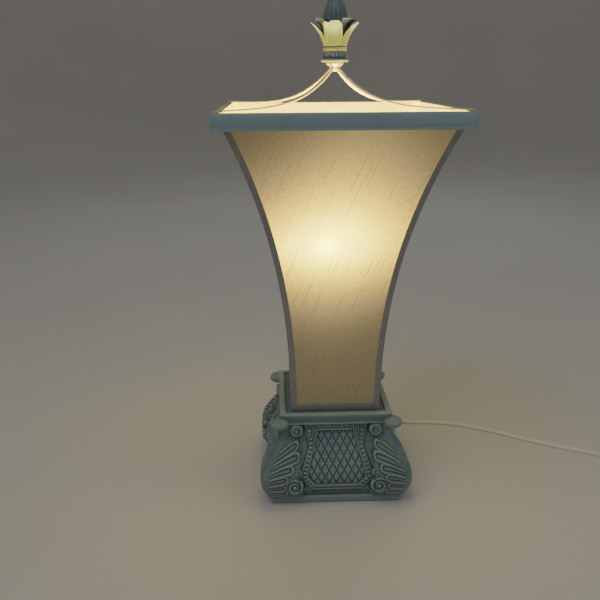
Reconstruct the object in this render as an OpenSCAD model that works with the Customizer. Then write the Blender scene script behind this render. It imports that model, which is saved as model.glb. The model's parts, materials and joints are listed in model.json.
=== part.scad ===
// Decorative table lamp: a cast square base with corner scrolls, a trumpet-shaped square shade,
// four crown arms over the shade and an acanthus finial, with its lead coiled beside it.
// The origin is the middle of the base where it rests on the table. +Z is up and -Y is the front.

/* [Shade] */
// Outer width of the square rim band
rim_w = 254; // [253:0.5:258]
// Height of the rim band's top face above the table
rim_z = 452.5; // [448:0.5:456]
// Height of the rim band
rim_h = 16.6; // [12:0.1:18]
// Radius of the rim band's corners, seen from above
rim_corner_r = 8; // [5:0.5:8]
// Outer width of the shade at its lower edge
shade_w = 103.2; // [101:0.2:105]
// Outer width of the shade at the rim
shade_top_w = 246; // [244:0.5:248]
// Height of the shade's lower edge above the table
shade_z = 107.8; // [107.6:0.1:109]
// Height where the curve of the walls would stand upright
flare_z = 90; // [85:1:95]
// How late the walls flare: larger keeps them upright for longer
flare_power = 2.45; // [2.35:0.05:2.5]
// Width of the ribbon over the seams
ribbon_w = 6.5; // [5:0.5:8]
// Width of the ribbon round the lower edge
hem_w = 9.5; // [8:0.5:11]

/* [Crown] */
// Rise of the crown arms from the rim to the hub
crown_h = 42; // [38:0.5:44]
// How quickly the arms flatten towards the rim
crown_power = 3.8; // [3.2:0.1:4.4]
// Width of an arm's flat strap
arm_w = 5; // [4:0.5:7]
// Thickness of an arm's flat strap
arm_t = 2; // [1.5:0.1:2.5]

/* [Base] */
// Width of the square plinth
plinth_w = 155; // [150:1:160]
// Height of the plinth's top face above the table
plinth_h = 9.6; // [8:0.1:11]
// Width of the square ledge under the shade
ledge_w = 131; // [129:0.5:133]
// Height of the ledge's top face above the table
ledge_z = 110.4; // [109.5:0.1:110.9]
// Height of the fascia below the ledge
fascia_h = 13.2; // [12:0.1:14]
// Greatest half-width of the corner scrolls
scroll_half = 88.2; // [86:0.1:89]
// Greatest half-width of the faces between the scrolls
belly_half = 81; // [79:0.5:82]

/* [Bulb] */
// Diameter of the bulb's globe
bulb_d = 60; // [55:1:64]
// Height of the globe's centre above the table
bulb_z = 300; // [299:0.5:302]

/* [Lead] */
// Width of the flat twin lead
lead_w = 6.5; // [5.5:0.1:6.6]
// Thickness of the flat twin lead
lead_t = 3.3; // [2.6:0.1:3.4]

/* [Hidden] */
$fn = 64;

// Colours
dusty_teal = [0.62, 0.68, 0.67];
cream = [0.93, 0.86, 0.66];
ribbon_blue = [0.55, 0.60, 0.63];
brass = [0.78, 0.62, 0.30];
steel = [0.62, 0.63, 0.65];
ivory = [0.90, 0.87, 0.78];

slack = 1;                        // how far a cutting tool reaches past what it cuts
big = 400;                        // longer than any wall that is cut from an extrusion

// ---- Square solids whose walls follow a profile ----

// A solid that is square in plan: both of its wall profiles are the same outline.
module square_solid(outline) {
    intersection() {
        wall_profile(outline);
        rotate([0, 0, 90]) wall_profile(outline);
    }
}

// The outline, drawn in the XZ plane and extruded along Y.
module wall_profile(outline) {
    rotate([90, 0, 0]) linear_extrude(big, center = true) polygon(outline);
}

// A symmetrical outline from a list of [half-width, height] pairs.
function mirrored(halves) = concat(
    halves,
    [for (i = [len(halves) - 1 : -1 : 0]) [-halves[i][0], halves[i][1]]]
);

// A square with round corners, seen from above.
module rounded_square(half, r) {
    square([2 * half, 2 * (half - r)], center = true);
    square([2 * (half - r), 2 * half], center = true);
    for (x = [-1, 1], y = [-1, 1]) translate([x * (half - r), y * (half - r)]) circle(r);
}

// ---- Sweeps along a route ----

function unit(v) = v / norm(v);
function heading(path, i) = unit(path[min(i + 1, len(path) - 1)] - path[max(i - 1, 0)]);

// Route points with extra ones between them on a smooth curve.
function between(a, b, c, d, t) =
    0.5 * (2 * b + (c - a) * t + (2 * a - 5 * b + 4 * c - d) * t * t + (3 * b - a - 3 * c + d) * t * t * t);
function smooth_route(path, steps) = let (last = len(path) - 1) concat(
    [for (i = [0 : last - 1], k = [0 : steps - 1])
        between(path[max(i - 1, 0)], path[i], path[i + 1], path[min(i + 2, last)], k / steps)],
    [path[last]]
);

// One ring of an oval section that lies flat, w across and t thick.
function oval_ring(path, i, w, t, sides, flat_dir) =
    let (
        ahead = heading(path, i),
        across = unit(cross(flat_dir, ahead)),
        up = cross(ahead, across)
    )
    [for (k = [0 : sides - 1])
        path[i] + across * w / 2 * cos(360 * k / sides) + up * t / 2 * sin(360 * k / sides)];

module oval_tube(path, w, t, sides = 8, flat_dir = [0, 0, 1]) {
    last = len(path) - 1;
    points = [for (i = [0 : last]) each oval_ring(path, i, w, t, sides, flat_dir)];
    walls = [for (i = [0 : last - 1], k = [0 : sides - 1])
        [i * sides + k, (i + 1) * sides + k,
            (i + 1) * sides + (k + 1) % sides, i * sides + (k + 1) % sides]];
    start_cap = [for (k = [0 : sides - 1]) k];
    end_cap = [for (k = [sides - 1 : -1 : 0]) last * sides + k];
    polyhedron(points, concat(walls, [start_cap, end_cap]), convexity = 8);
}

// ---- Base ----

felt_t = 1;                       // thickness of the felt pad
cover_t = 2.5;                    // thickness of the plate that closes the base
cover_half = 70;
neck_half = 60.5;                 // the faces' half-width just under the fascia
waist_half = 65.5;                // the scrolls' half-width under the corner balls
belly_z = 33;                     // height of the faces' widest line
neck_z = 90;                      // height where the faces reach the neck
scroll_belly_z = 33;              // height of the scrolls' widest line
scroll_top_z = 87;                // height of the waist under the balls
foot_tuck = 4.5;                  // how far the faces draw in at the plinth
scroll_tuck = 7.6;                // how far the scrolls draw in at the plinth
scroll_fullness = 0.72;           // less makes the scrolls fuller above their widest line
recess_half = 58.5;               // the shallow recess in the ledge
recess_z = 107.4;
ceiling_z = 96;                   // top of the hollow inside the base
hollow_half = 54;
hollow_low_half = 61;             // the wider lower part of the hollow
hollow_low_z = 58;
ball_r = 10.5;                    // the corner balls are flattened spheres
ball_half_h = 6.5;
ball_at = 66.5;
ball_z = 99.5;
post_inner = 45;                  // the scroll posts fill the corners outside this line
exit_z = 14.5;                    // height of the lead's exit in the back
exit_wall_y = 80.2;               // back face of the exit boss

function face_half(z) = z > neck_z ? neck_half
    : z > belly_z ? neck_half + (belly_half - neck_half) * (1 + cos(180 * (z - belly_z) / (neck_z - belly_z))) / 2
    : belly_half - foot_tuck * pow((belly_z - z) / (belly_z - plinth_h), 2);

function scroll_at(z) = z > scroll_belly_z
    ? waist_half + (scroll_half - waist_half)
        * pow(max(0, 1 + cos(180 * (z - scroll_belly_z) / (scroll_top_z - scroll_belly_z))) / 2, scroll_fullness)
    : scroll_half - scroll_tuck * pow((scroll_belly_z - z) / (scroll_belly_z - plinth_h), 1.9);

face_zs = [for (i = [0 : 14]) plinth_h + (neck_z - plinth_h) * i / 14];
scroll_zs = [for (i = [0 : 14]) plinth_h + (scroll_top_z - plinth_h) * i / 14];

// The raised frame of a face: an urn outline with a waist and cut lower corners.
frame_outer = [[37, 96], [31.8, 70], [41.3, 43], [41.3, 36], [29, 20.5]];
frame_inner = [[20, 87.5], [25.2, 71], [33.2, 43], [33.5, 37], [25.4, 27.5]];
frame_rise = 1.6;

module base_casting() color(dusty_teal) difference() {
    union() {
        translate([0, 0, felt_t + (plinth_h - felt_t) / 2])
            cube([plinth_w, plinth_w, plinth_h - felt_t], center = true);
        square_solid(mirrored(concat(
            [for (z = face_zs) [face_half(z), z]], [[neck_half, ledge_z - fascia_h]])));
        translate([0, 0, ledge_z - fascia_h / 2]) cube([ledge_w, ledge_w, fascia_h], center = true);
        scroll_posts();
        for (turn = [0 : 90 : 270]) rotate([0, 0, turn]) {
            face_frame();
            volutes();
            translate([ball_at, ball_at, ball_z]) corner_ball();
        }
        translate([0, exit_wall_y, exit_z]) rotate([90, 0, 0]) cylinder(r = 9, h = 12);
    }
    hollow();
}

module scroll_posts() {
    intersection() {
        square_solid(mirrored(concat(
            [for (z = scroll_zs) [scroll_at(z), z]], [[waist_half, ledge_z - fascia_h]])));
        rotate_extrude() polygon(concat(
            [[0, plinth_h]],
            [for (z = scroll_zs) [scroll_at(z) * sqrt(2) - 5, z]],
            [[waist_half * sqrt(2) - 5, ledge_z - fascia_h], [0, ledge_z - fascia_h]]));
        for (x = [-1, 1], y = [-1, 1])
            translate([x * (post_inner + 50), y * (post_inner + 50), 50]) cube([100, 100, 100], center = true);
    }
}

module face_frame() {
    intersection() {
        square_solid(mirrored(concat(
            [for (z = face_zs) [face_half(z) + frame_rise, z]],
            [[neck_half + frame_rise, ledge_z - fascia_h]])));
        translate([0, -neck_half, 0]) rotate([90, 0, 0]) linear_extrude(30) difference() {
            polygon(mirrored(frame_outer));
            polygon(mirrored(frame_inner));
        }
    }
}

// The spiral ends of the scrolls on one face, large at the foot and small under the balls.
module volutes() {
    for (x = [-1, 1]) {
        translate([x * 49.5, -64, 28]) rotate([90, 0, 0]) cylinder(r = 10, h = 25);
        translate([x * 46.5, -56, 90]) rotate([90, 0, 0]) cylinder(r = 7.5, h = 13);
    }
}

module corner_ball() {
    rotate_extrude() polygon([for (a = [-90 : 10 : 90]) [ball_r * cos(a), ball_half_h * sin(a)]]);
}

module hollow() {
    translate([0, 0, felt_t - slack + (cover_t + slack) / 2])
        cube([2 * cover_half, 2 * cover_half, cover_t + slack], center = true);
    translate([0, 0, (felt_t + hollow_low_z) / 2])
        cube([2 * hollow_low_half, 2 * hollow_low_half, hollow_low_z - felt_t], center = true);
    translate([0, 0, (felt_t + ceiling_z) / 2])
        cube([2 * hollow_half, 2 * hollow_half, ceiling_z - felt_t], center = true);
    translate([0, 0, recess_z + slack * 3])
        cube([2 * recess_half, 2 * recess_half, slack * 6], center = true);
    cylinder(r = pipe_r, h = 120);
    translate([0, exit_wall_y + slack, exit_z]) rotate([90, 0, 0]) cylinder(r = exit_bore_r, h = 30);
}

module felt_pad() color([0.20, 0.26, 0.22]) translate([0, 0, felt_t / 2])
    cube([plinth_w - 4, plinth_w - 4, felt_t], center = true);

module bottom_cover_plate() color([0.45, 0.36, 0.26]) translate([0, 0, felt_t + cover_t / 2])
    cube([2 * cover_half - 0.2, 2 * cover_half - 0.2, cover_t], center = true);

// ---- Strain relief in the back of the base ----

exit_bore_r = 4.2;
relief_neck_r = 4;
relief_flange_r = 5.8;
relief_flange_t = 2.5;
relief_end_y = 104;
relief_grooves = 5;

module cord_strain_relief() color(ivory) translate([0, 0, exit_z]) rotate([-90, 0, 0]) difference() {
    rotate_extrude() polygon([
        [0, hollow_low_half], [relief_neck_r, hollow_low_half], [relief_neck_r, exit_wall_y],
        [relief_flange_r, exit_wall_y], [relief_flange_r, exit_wall_y + relief_flange_t],
        [5, exit_wall_y + relief_flange_t], [3.7, relief_end_y], [0, relief_end_y]
    ]);
    for (i = [0 : relief_grooves - 1])
        translate([0, 0, exit_wall_y + 5 + i * 3.6]) difference() {
            cylinder(r = relief_flange_r, h = 1.6);
            translate([0, 0, -slack]) cylinder(r = 3.5, h = 1.6 + 2 * slack);
        }
}

// ---- Pipe, riser and socket ----

pipe_r = 5;
pipe_bore_r = 3.5;
pipe_low_z = 84;
pipe_top_z = 192;
spider_z = shade_z + 0.8;
spider_t = 1.6;
cap_low_z = 184;
socket_r = 17;
shell_low_z = 201;
socket_mouth_z = 246;
screw_r = 13;                     // radius of the bulb's screw base
screw_fit = 0.06;
contact_z = 222;                  // height of the bulb's contact tip

module threaded_pipe() color(brass) translate([0, 0, pipe_low_z]) difference() {
    cylinder(r = pipe_r, h = pipe_top_z - pipe_low_z);
    translate([0, 0, -slack]) cylinder(r = pipe_bore_r, h = pipe_top_z - pipe_low_z + 2 * slack);
}

module washer(r, bore_r, t) {
    difference() {
        cylinder(r = r, h = t);
        translate([0, 0, -slack]) cylinder(r = bore_r, h = t + 2 * slack);
    }
}

module pipe_washer() color(steel) translate([0, 0, ceiling_z - 1.5]) washer(14, pipe_r, 1.5);

module pipe_nut() color(steel) translate([0, 0, ceiling_z - 6]) difference() {
    cylinder(r = 9, h = 4.5, $fn = 6);
    translate([0, 0, -slack]) cylinder(r = pipe_r, h = 4.5 + 2 * slack);
}

module seat_collar() color(brass) translate([0, 0, recess_z]) washer(9, pipe_r, spider_z - recess_z);

module riser_tube() color(brass) translate([0, 0, spider_z + spider_t])
    washer(8, 5.6, cap_low_z - spider_z - spider_t);

module socket_cap() color(brass) rotate_extrude() polygon([
    [pipe_r, cap_low_z], [8, cap_low_z], [8, 190], [13, 192], [16.4, 196], [17.6, 200], [17.6, 206],
    [socket_r, 206], [socket_r, 200.4], [15.8, 196.6], [12.6, 192.8], [pipe_r, 190.8]
]);

module socket_shell() color(brass) translate([0, 0, shell_low_z])
    washer(socket_r, socket_r - 0.6, socket_mouth_z - shell_low_z);

module socket_insulator() color([0.25, 0.18, 0.12]) translate([0, 0, shell_low_z])
    washer(socket_r - 0.6, socket_r - 1.1, socket_mouth_z - shell_low_z - 0.5);

module socket_body() color([0.16, 0.11, 0.08]) translate([0, 0, 206]) difference() {
    cylinder(r = socket_r - 1.1, h = contact_z - 2.5 - 206);
    for (x = [-1, 1]) translate([x * 11, 0, -slack]) cylinder(r = 1.6, h = 6 + slack);
}

module socket_screw_shell() color(brass) translate([0, 0, contact_z - 2.5])
    washer(screw_r + 0.7, screw_r + screw_fit, 26);

module socket_centre_contact() color(brass) translate([0, 0, contact_z - 2.5]) cylinder(r = 3.2, h = 2.2);

module terminal_screws() color(brass) for (x = [-1, 1]) translate([x * 11, 0, 0]) {
    translate([0, 0, 206]) cylinder(r = 1.6, h = 6);
    translate([0, 0, 203.8]) cylinder(r = 3, h = 2.2);
}

module socket_set_screw() color(steel) translate([8, 0, 187]) rotate([0, 90, 0]) cylinder(r = 1.5, h = 3);

module inner_leads() color([0.85, 0.80, 0.65]) for (x = [-1, 1]) oval_tube(smooth_route([
        [x * 1.5, 60.5, exit_z], [x * 1.5, 46, 16], [x * 1.5, 24, 30], [x * 1.5, 6, 54],
        [x * 1.5, 0, 76], [x * 1.5, 0, 100], [x * 1.5, 0, 140], [x * 1.5, 0, 185],
        [x * 4, 0, 196], [x * 10.5, 0, 202.4]
    ], 2), 2.2, 2.2, 8, [1, 0, 0]);

// ---- Shade ----

fabric_t = 1;
wire = 3.3;                       // the frame's square wire
lining_t = 0.6;
ribbon_t = 0.5;
gap = 0.05;                       // room between the frame's wire and the cloth
flare_steps = 18;

// The walls' half-width at a height, joined by straight lines so that every layer bends at the same heights.
function flare(z) = shade_w / 2
    + (shade_top_w - shade_w) / 2 * pow((z - flare_z) / (rim_z - flare_z), flare_power);
shade_zs = [for (i = [0 : flare_steps]) shade_z - 2 + (rim_z + 4 - shade_z) * i / flare_steps];
shade_halves = [for (z = shade_zs) [z, flare(z)]];
function shade_half(z) = lookup(z, shade_halves);

// Heights from z0 to z1 with the walls' bends between them.
function wall_heights(z0, z1) = concat([z0], [for (z = shade_zs) if (z > z0 && z < z1) z], [z1]);

function shade_outline(inset, z0, z1) =
    mirrored([for (z = wall_heights(z0, z1)) [shade_half(z) - inset, z]]);

// The shade's walls between two insets from its outer face.
module shade_wall(outer_inset, inner_inset, z0, z1) {
    difference() {
        square_solid(shade_outline(outer_inset, z0, z1));
        square_solid(shade_outline(inner_inset, z0 - slack, z1 + slack));
    }
}

// One side of the shade, mitred where it meets its neighbours. side 0 is the front.
module one_side(side) {
    intersection() {
        children();
        rotate([0, 0, 90 * side]) linear_extrude(rim_z + 20) polygon([[0, 0], [-rim_w, -rim_w], [rim_w, -rim_w]]);
    }
}

// A strip along one corner edge, leg wide on both faces. corner 0 is front left.
module corner_strip(corner, outer_inset, inner_inset, leg, z0, z1) {
    intersection() {
        difference() {
            shade_wall(outer_inset, inner_inset, z0, z1);
            wall_profile(shade_outline(leg, z0 - slack, z1 + slack));
            rotate([0, 0, 90]) wall_profile(shade_outline(leg, z0 - slack, z1 + slack));
        }
        rotate([0, 0, 90 * corner]) translate([-rim_w, -rim_w, 0]) cube([rim_w, rim_w, rim_z + 20]);
    }
}

ring_low_z = shade_z + 0.8;
ring_top_z = rim_z - 0.8;

module shade_panel(side) color(cream)
    one_side(side) shade_wall(0, fabric_t, shade_z, rim_z - 0.2);

module shade_lining(side) color([0.96, 0.92, 0.80])
    one_side(side) shade_wall(fabric_t + wire + 2 * gap, fabric_t + wire + 2 * gap + lining_t,
        ring_low_z + wire + gap, rim_z - 0.2);

module shade_rib(corner) color(steel)
    corner_strip(corner, fabric_t + gap, fabric_t + gap + wire, fabric_t + gap + wire,
        ring_low_z + wire, ring_top_z - wire);

module corner_trim(corner) color(ribbon_blue)
    corner_strip(corner, -ribbon_t, 0, ribbon_w, shade_z + hem_w, rim_z - rim_h);

module bottom_trim() color(ribbon_blue) shade_wall(-ribbon_t, 0, shade_z, shade_z + hem_w);

module shade_top_ring() color(steel)
    shade_wall(fabric_t + gap, fabric_t + gap + wire, ring_top_z - wire, ring_top_z);

module shade_bottom_ring() color(steel)
    shade_wall(fabric_t + gap, fabric_t + gap + wire, ring_low_z, ring_low_z + wire);

module shade_spider() color(steel) translate([0, 0, spider_z]) difference() {
    reach = shade_half(spider_z) - fabric_t - gap - wire;
    union() {
        cylinder(r = 12, h = spider_t);
        for (turn = [0, 90]) rotate([0, 0, turn])
            translate([0, 0, spider_t / 2]) cube([2 * reach, 8, spider_t], center = true);
    }
    translate([0, 0, -slack]) cylinder(r = pipe_r, h = spider_t + 2 * slack);
}

module rim_band() color(ribbon_blue) difference() {
    translate([0, 0, rim_z - rim_h]) linear_extrude(rim_h) rounded_square(rim_w / 2, rim_corner_r);
    square_solid(shade_outline(-gap, shade_z, rim_z + slack));
}

// ---- Crown ----

hub_low_r = 4.5;
hub_top_r = 9;
hub_top_z = rim_z + crown_h + 3.8;
arm_reach = (shade_half(rim_z) - 1) * sqrt(2);
arm_steps = 16;

function arm_z(u) = rim_z + 0.1 + crown_h * pow(1 - u / arm_reach, crown_power);
function arm_slope(u) = -crown_h * crown_power / arm_reach * pow(max(0, 1 - u / arm_reach), crown_power - 1);

// The arm's side view, closer together near the hub where it is steepest.
arm_us = [for (i = [0 : arm_steps]) 3 + (arm_reach - 3) * pow(i / arm_steps, 1.4)];
arm_outline = concat(
    [for (u = arm_us) [u, arm_z(u)]],
    [for (i = [arm_steps : -1 : 0]) let (u = arm_us[i])
        [u, arm_z(u) + arm_t * sqrt(1 + arm_slope(u) * arm_slope(u))]]
);

module crown_arm(corner) color(cream) difference() {
    rotate([0, 0, 90 * corner - 135]) rotate([90, 0, 0])
        linear_extrude(arm_w, center = true) polygon(arm_outline);
    cylinder(r = hub_low_r, h = 600);
}

module crown_hub() color(brass) translate([0, 0, hub_top_z]) rotate_extrude() polygon([
    [0, -9.5], [2.6, -9], [4, -8], [hub_low_r, -6.6], [hub_low_r, -5.4], [hub_top_r, -1.8],
    [hub_top_r, 0], [0, 0]
]);

stud_r = 3.175;
stud_h = 21;

module crown_stud() color(brass) translate([0, 0, hub_top_z]) cylinder(r = stud_r, h = stud_h);

// ---- Finial ----

finial_z = hub_top_z + 0.3;
insert_r = 5;
insert_h = 22.5;

// Half outline of the finial as [radius, height above its foot].
finial_outline = [
    [0, 0], [14.6, 0], [14.8, 1.5], [14.2, 2.9], [12.6, 3.6], [12, 4.6], [12, 11], [12.6, 12.2],
    [12.8, 14.5], [12.2, 15.6], [12.4, 17], [13.2, 22], [15, 28], [18, 33], [22, 37], [25.6, 40],
    [24.6, 42.6], [19.5, 42.5], [14.5, 42], [13, 44.5], [12.5, 46.5], [11.2, 53], [9.5, 58],
    [7.8, 61.5], [5, 68], [2.6, 74], [1, 78.5], [0, 79.5]
];

module finial_casting() color(dusty_teal) translate([0, 0, finial_z]) difference() {
    rotate_extrude() polygon(finial_outline);
    translate([0, 0, -slack]) cylinder(r = insert_r, h = insert_h + slack);
}

module finial_insert() color(brass) translate([0, 0, finial_z]) difference() {
    cylinder(r = insert_r, h = insert_h);
    translate([0, 0, -slack]) cylinder(r = stud_r + 0.05, h = stud_h + 0.5 + slack);
}

// ---- Bulb ----

glass_t = 1;
bulb_r = bulb_d / 2;
screw_top_z = 252;
globe_low_a = -42;                // where the globe turns into the neck

function globe_outline(r) = [for (a = [90 : -6 : globe_low_a]) [r * cos(a), bulb_z + r * sin(a)]];

module bulb_glass() color([0.98, 0.94, 0.82]) rotate_extrude() difference() {
    polygon(concat([[0, bulb_z + bulb_r]], globe_outline(bulb_r),
        [[17.5, 269], [14.5, 259], [13.4, screw_top_z], [0, screw_top_z]]));
    polygon(concat([[0, bulb_z + bulb_r - glass_t]], globe_outline(bulb_r - glass_t),
        [[16.5, 269.4], [13.5, 259.2], [12.4, screw_top_z + 1], [0, screw_top_z + 1]]));
}

module bulb_screw_base() color(brass) rotate_extrude() polygon([
    [0, contact_z + 3], [6, contact_z + 3], [screw_r - 2, contact_z + 5], [screw_r, contact_z + 6.5],
    [screw_r, screw_top_z], [0, screw_top_z]
]);

module bulb_contact_tip() color(steel) translate([0, 0, contact_z]) cylinder(r1 = 3.4, r2 = 4.4, h = 3);

// ---- Lead, in-line switch and plug ----

lead_z = 1.75;                    // the lead's middle when it lies on the table
switch_at = [404, -11, 0];
switch_turn = -27.5;
switch_l = 58;
switch_w = 27;
switch_h = 18;
case_split_z = 9;
coil_at = [489.8, -5.5, 0];
coil_outer_r = 44.4;              // the lead's middle in the outermost turn
coil_inner_r = 26;
coil_h = 7;
plug_end_x = 455;
plug_y = 40;
plug_z = 6.5;

lamp_route = [
    [0, 104, exit_z], [0, 114, 14], [2, 124, 12], [8, 136, 8], [19, 146, 4.5], [34, 151, 2.2],
    [50, 149, lead_z], [68, 142, lead_z], [85, 132, lead_z], [100, 124, lead_z], [114, 118, lead_z],
    [126, 115, lead_z], [145, 113, lead_z], [168, 111, lead_z], [195, 103, lead_z], [221, 91, lead_z],
    [247, 76, lead_z], [273, 58, lead_z], [300, 43, lead_z], [330, 27, lead_z], [362, 11, lead_z],
    [378.3, 2.4, 4]
];
coil_route = [[429.7, -24.4, 4], [440, -29.7, lead_z], [455, -37.5, lead_z], [469, -44.8, lead_z]];
plug_route = [[489, 39, 5.2], [476, 39.5, 5.4], [464, 40, 6.2], [plug_end_x, plug_y, plug_z]];

module cord_lead() color(ivory) {
    oval_tube(smooth_route(lamp_route, 2), lead_w, lead_t);
    oval_tube(smooth_route(coil_route, 2), lead_w, lead_t);
    oval_tube(smooth_route(plug_route, 2), lead_w, lead_t);
}

module cord_coil() color(ivory) translate(coil_at) difference() {
    cylinder(r = coil_outer_r + lead_w / 2, h = coil_h);
    translate([0, 0, -slack]) cylinder(r = coil_inner_r - lead_w / 2, h = coil_h + 2 * slack);
}

// Everything on the switch is drawn along +X and then turned into the lead's line.
module at_switch() {
    translate(switch_at) rotate([0, 0, switch_turn]) children();
}

module switch_outline(l, w) {
    square([l - w, w], center = true);
    for (x = [-1, 1]) translate([x * (l - w) / 2, 0]) circle(w / 2);
}

case_l = switch_l - 12;
case_wall = 2;
rocker_z = 14.6;                  // height of the rocker's pivot
rocker_w = 8;
rocker_half = 6.5;
rocker_top = 4.2;
rocker_tilt = 10;
pivot_r = 1;
pivot_fit = 0.05;

module switch_case_lower() color(ivory) at_switch() difference() {
    union() {
        linear_extrude(case_split_z) switch_outline(case_l, switch_w);
        for (x = [-1, 1]) translate([x * (switch_l / 2 - 5), 0, 4])
            cube([10, 10, 6], center = true);
    }
    translate([0, 0, case_wall]) linear_extrude(case_split_z)
        switch_outline(case_l - 2 * case_wall, switch_w - 2 * case_wall);
}

module switch_case_upper() color(ivory) at_switch() difference() {
    translate([0, 0, case_split_z]) linear_extrude(switch_h - case_split_z) switch_outline(case_l, switch_w);
    translate([0, 0, case_split_z - slack]) linear_extrude(2 + slack)
        switch_outline(case_l - 2 * case_wall, switch_w - 2 * case_wall);
    translate([0, 0, switch_h / 2 + case_split_z / 2])
        cube([2 * rocker_half + 2, rocker_w + 0.7, switch_h - case_split_z + 2 * slack], center = true);
    translate([0, (rocker_w + 5) / 2, rocker_z]) rotate([90, 0, 0])
        cylinder(r = pivot_r + pivot_fit, h = rocker_w + 5);
}

module switch_contacts() color(brass) at_switch() for (x = [-1, 1])
    translate([x * 14, 0, case_wall]) {
        translate([0, 0, 0.5]) cube([10, 6, 1], center = true);
        translate([-x * 3, 0, 2.5]) cube([1, 5, 3], center = true);
    }

module switch_rocker() color([0.80, 0.76, 0.66]) at_switch() translate([0, 0, rocker_z])
    rotate([0, rocker_tilt, 0]) rotate([90, 0, 0]) {
        linear_extrude(rocker_w, center = true) {
            circle(4);
            polygon([[-rocker_half, 0], [rocker_half, 0], [rocker_half, rocker_top],
                [0, rocker_top - 1.4], [-rocker_half, rocker_top]]);
        }
        cylinder(r = pivot_r, h = rocker_w + 4, center = true);
    }

plug_l = 26;
plug_w = 24;
plug_neck_l = 20;

module mains_plug() color(ivory) translate([plug_end_x, plug_y, plug_z]) rotate([0, -90, 0]) {
    rotate_extrude() polygon([[0, 0], [3.8, 0], [5.4, plug_neck_l], [0, plug_neck_l]]);
    translate([0, 0, plug_neck_l]) rotate([90, 0, 0]) linear_extrude(plug_w, center = true)
        polygon([[-plug_z, 3], [-4, 0], [4, 0], [plug_z, 3], [plug_z, plug_l], [-plug_z, plug_l]]);
}

module plug_blades() color(steel) for (y = [-1, 1])
    translate([plug_end_x - plug_neck_l - plug_l - 8.3, plug_y + y * 6.35, plug_z])
        cube([16.6, 1.5, 6.3], center = true);

base_casting();
felt_pad();
bottom_cover_plate();
cord_strain_relief();
threaded_pipe();
pipe_washer();
pipe_nut();
seat_collar();
riser_tube();
socket_cap();
socket_shell();
socket_insulator();
socket_body();
socket_screw_shell();
socket_centre_contact();
terminal_screws();
socket_set_screw();
inner_leads();
shade_top_ring();
shade_bottom_ring();
shade_spider();
shade_rib(0);  // shade_rib_front_left
shade_rib(1);  // shade_rib_front_right
shade_rib(2);  // shade_rib_back_right
shade_rib(3);  // shade_rib_back_left
shade_panel(0);  // shade_panel_front
shade_panel(1);  // shade_panel_right
shade_panel(2);  // shade_panel_back
shade_panel(3);  // shade_panel_left
shade_lining(0);  // shade_lining_front
shade_lining(1);  // shade_lining_right
shade_lining(2);  // shade_lining_back
shade_lining(3);  // shade_lining_left
corner_trim(0);  // corner_trim_front_left
corner_trim(1);  // corner_trim_front_right
corner_trim(2);  // corner_trim_back_right
corner_trim(3);  // corner_trim_back_left
bottom_trim();
rim_band();
crown_arm(0);  // crown_arm_front_left
crown_arm(1);  // crown_arm_front_right
crown_arm(2);  // crown_arm_back_right
crown_arm(3);  // crown_arm_back_left
crown_hub();
crown_stud();
finial_casting();
finial_insert();
bulb_glass();
bulb_screw_base();
bulb_contact_tip();
cord_lead();
cord_coil();
switch_case_lower();
switch_case_upper();
switch_contacts();
switch_rocker();
mains_plug();
plug_blades();
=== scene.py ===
"""A decorative table lamp, lit: cast square base, trumpet shade, crown, acanthus finial and lead.

Sizes in the sculpting functions are millimetres, and MM turns them into Blender's metres.
"""
import math

import bmesh
import bpy
import numpy as np
from mathutils import Matrix, Vector
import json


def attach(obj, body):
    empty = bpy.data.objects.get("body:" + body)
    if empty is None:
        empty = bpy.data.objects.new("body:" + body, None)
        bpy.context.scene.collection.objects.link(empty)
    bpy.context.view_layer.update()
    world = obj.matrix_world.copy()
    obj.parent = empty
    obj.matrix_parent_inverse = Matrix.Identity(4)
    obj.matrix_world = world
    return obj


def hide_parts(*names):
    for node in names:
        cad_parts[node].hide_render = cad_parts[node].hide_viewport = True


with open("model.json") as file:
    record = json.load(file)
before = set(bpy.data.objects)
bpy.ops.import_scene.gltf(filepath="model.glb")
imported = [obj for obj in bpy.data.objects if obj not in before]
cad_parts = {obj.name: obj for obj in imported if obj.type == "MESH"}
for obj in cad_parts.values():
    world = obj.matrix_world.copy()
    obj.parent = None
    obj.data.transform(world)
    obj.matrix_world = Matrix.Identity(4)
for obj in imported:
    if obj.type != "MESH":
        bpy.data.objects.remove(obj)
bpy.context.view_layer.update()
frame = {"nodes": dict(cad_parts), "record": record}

MM = 0.001


def new_object(name, data):
    """Puts a new object into the scene."""
    obj = bpy.data.objects.new(name, data)
    bpy.context.collection.objects.link(obj)
    return obj


# ---- Camera ----

CAMERA_PLACE = (-0.0683, -0.7960, 0.4874)
CAMERA_TURN = -2.103
CAMERA_DOWN = 17.957
CAMERA_ROLL = -0.3306


def make_camera():
    """Stands a little left of the lamp's middle and looks down at it."""
    data = bpy.data.cameras.new("camera")
    data.lens = 42.0
    data.sensor_width = 36.0
    data.clip_start = 0.01
    camera = new_object("camera", data)
    camera.matrix_world = (
        Matrix.Translation(CAMERA_PLACE)
        @ Matrix.Rotation(math.radians(CAMERA_TURN), 4, "Z")
        @ Matrix.Rotation(math.radians(90 - CAMERA_DOWN), 4, "X")
        @ Matrix.Rotation(math.radians(CAMERA_ROLL), 4, "Z")
    )
    bpy.context.scene.camera = camera


make_camera()


# ---- Mesh helpers ----

def mesh_object(name, points, faces, scale=MM):
    """A smooth mesh from points in millimetres, with its faces turned outwards."""
    mesh = bpy.data.meshes.new(name)
    mesh.from_pydata([tuple(float(c) * scale for c in p) for p in points], [], faces)
    shape = bmesh.new()
    shape.from_mesh(mesh)
    bmesh.ops.recalc_face_normals(shape, faces=shape.faces)
    shape.to_mesh(mesh)
    shape.free()
    mesh.polygons.foreach_set("use_smooth", [True] * len(mesh.polygons))
    return new_object(name, mesh)


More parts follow.
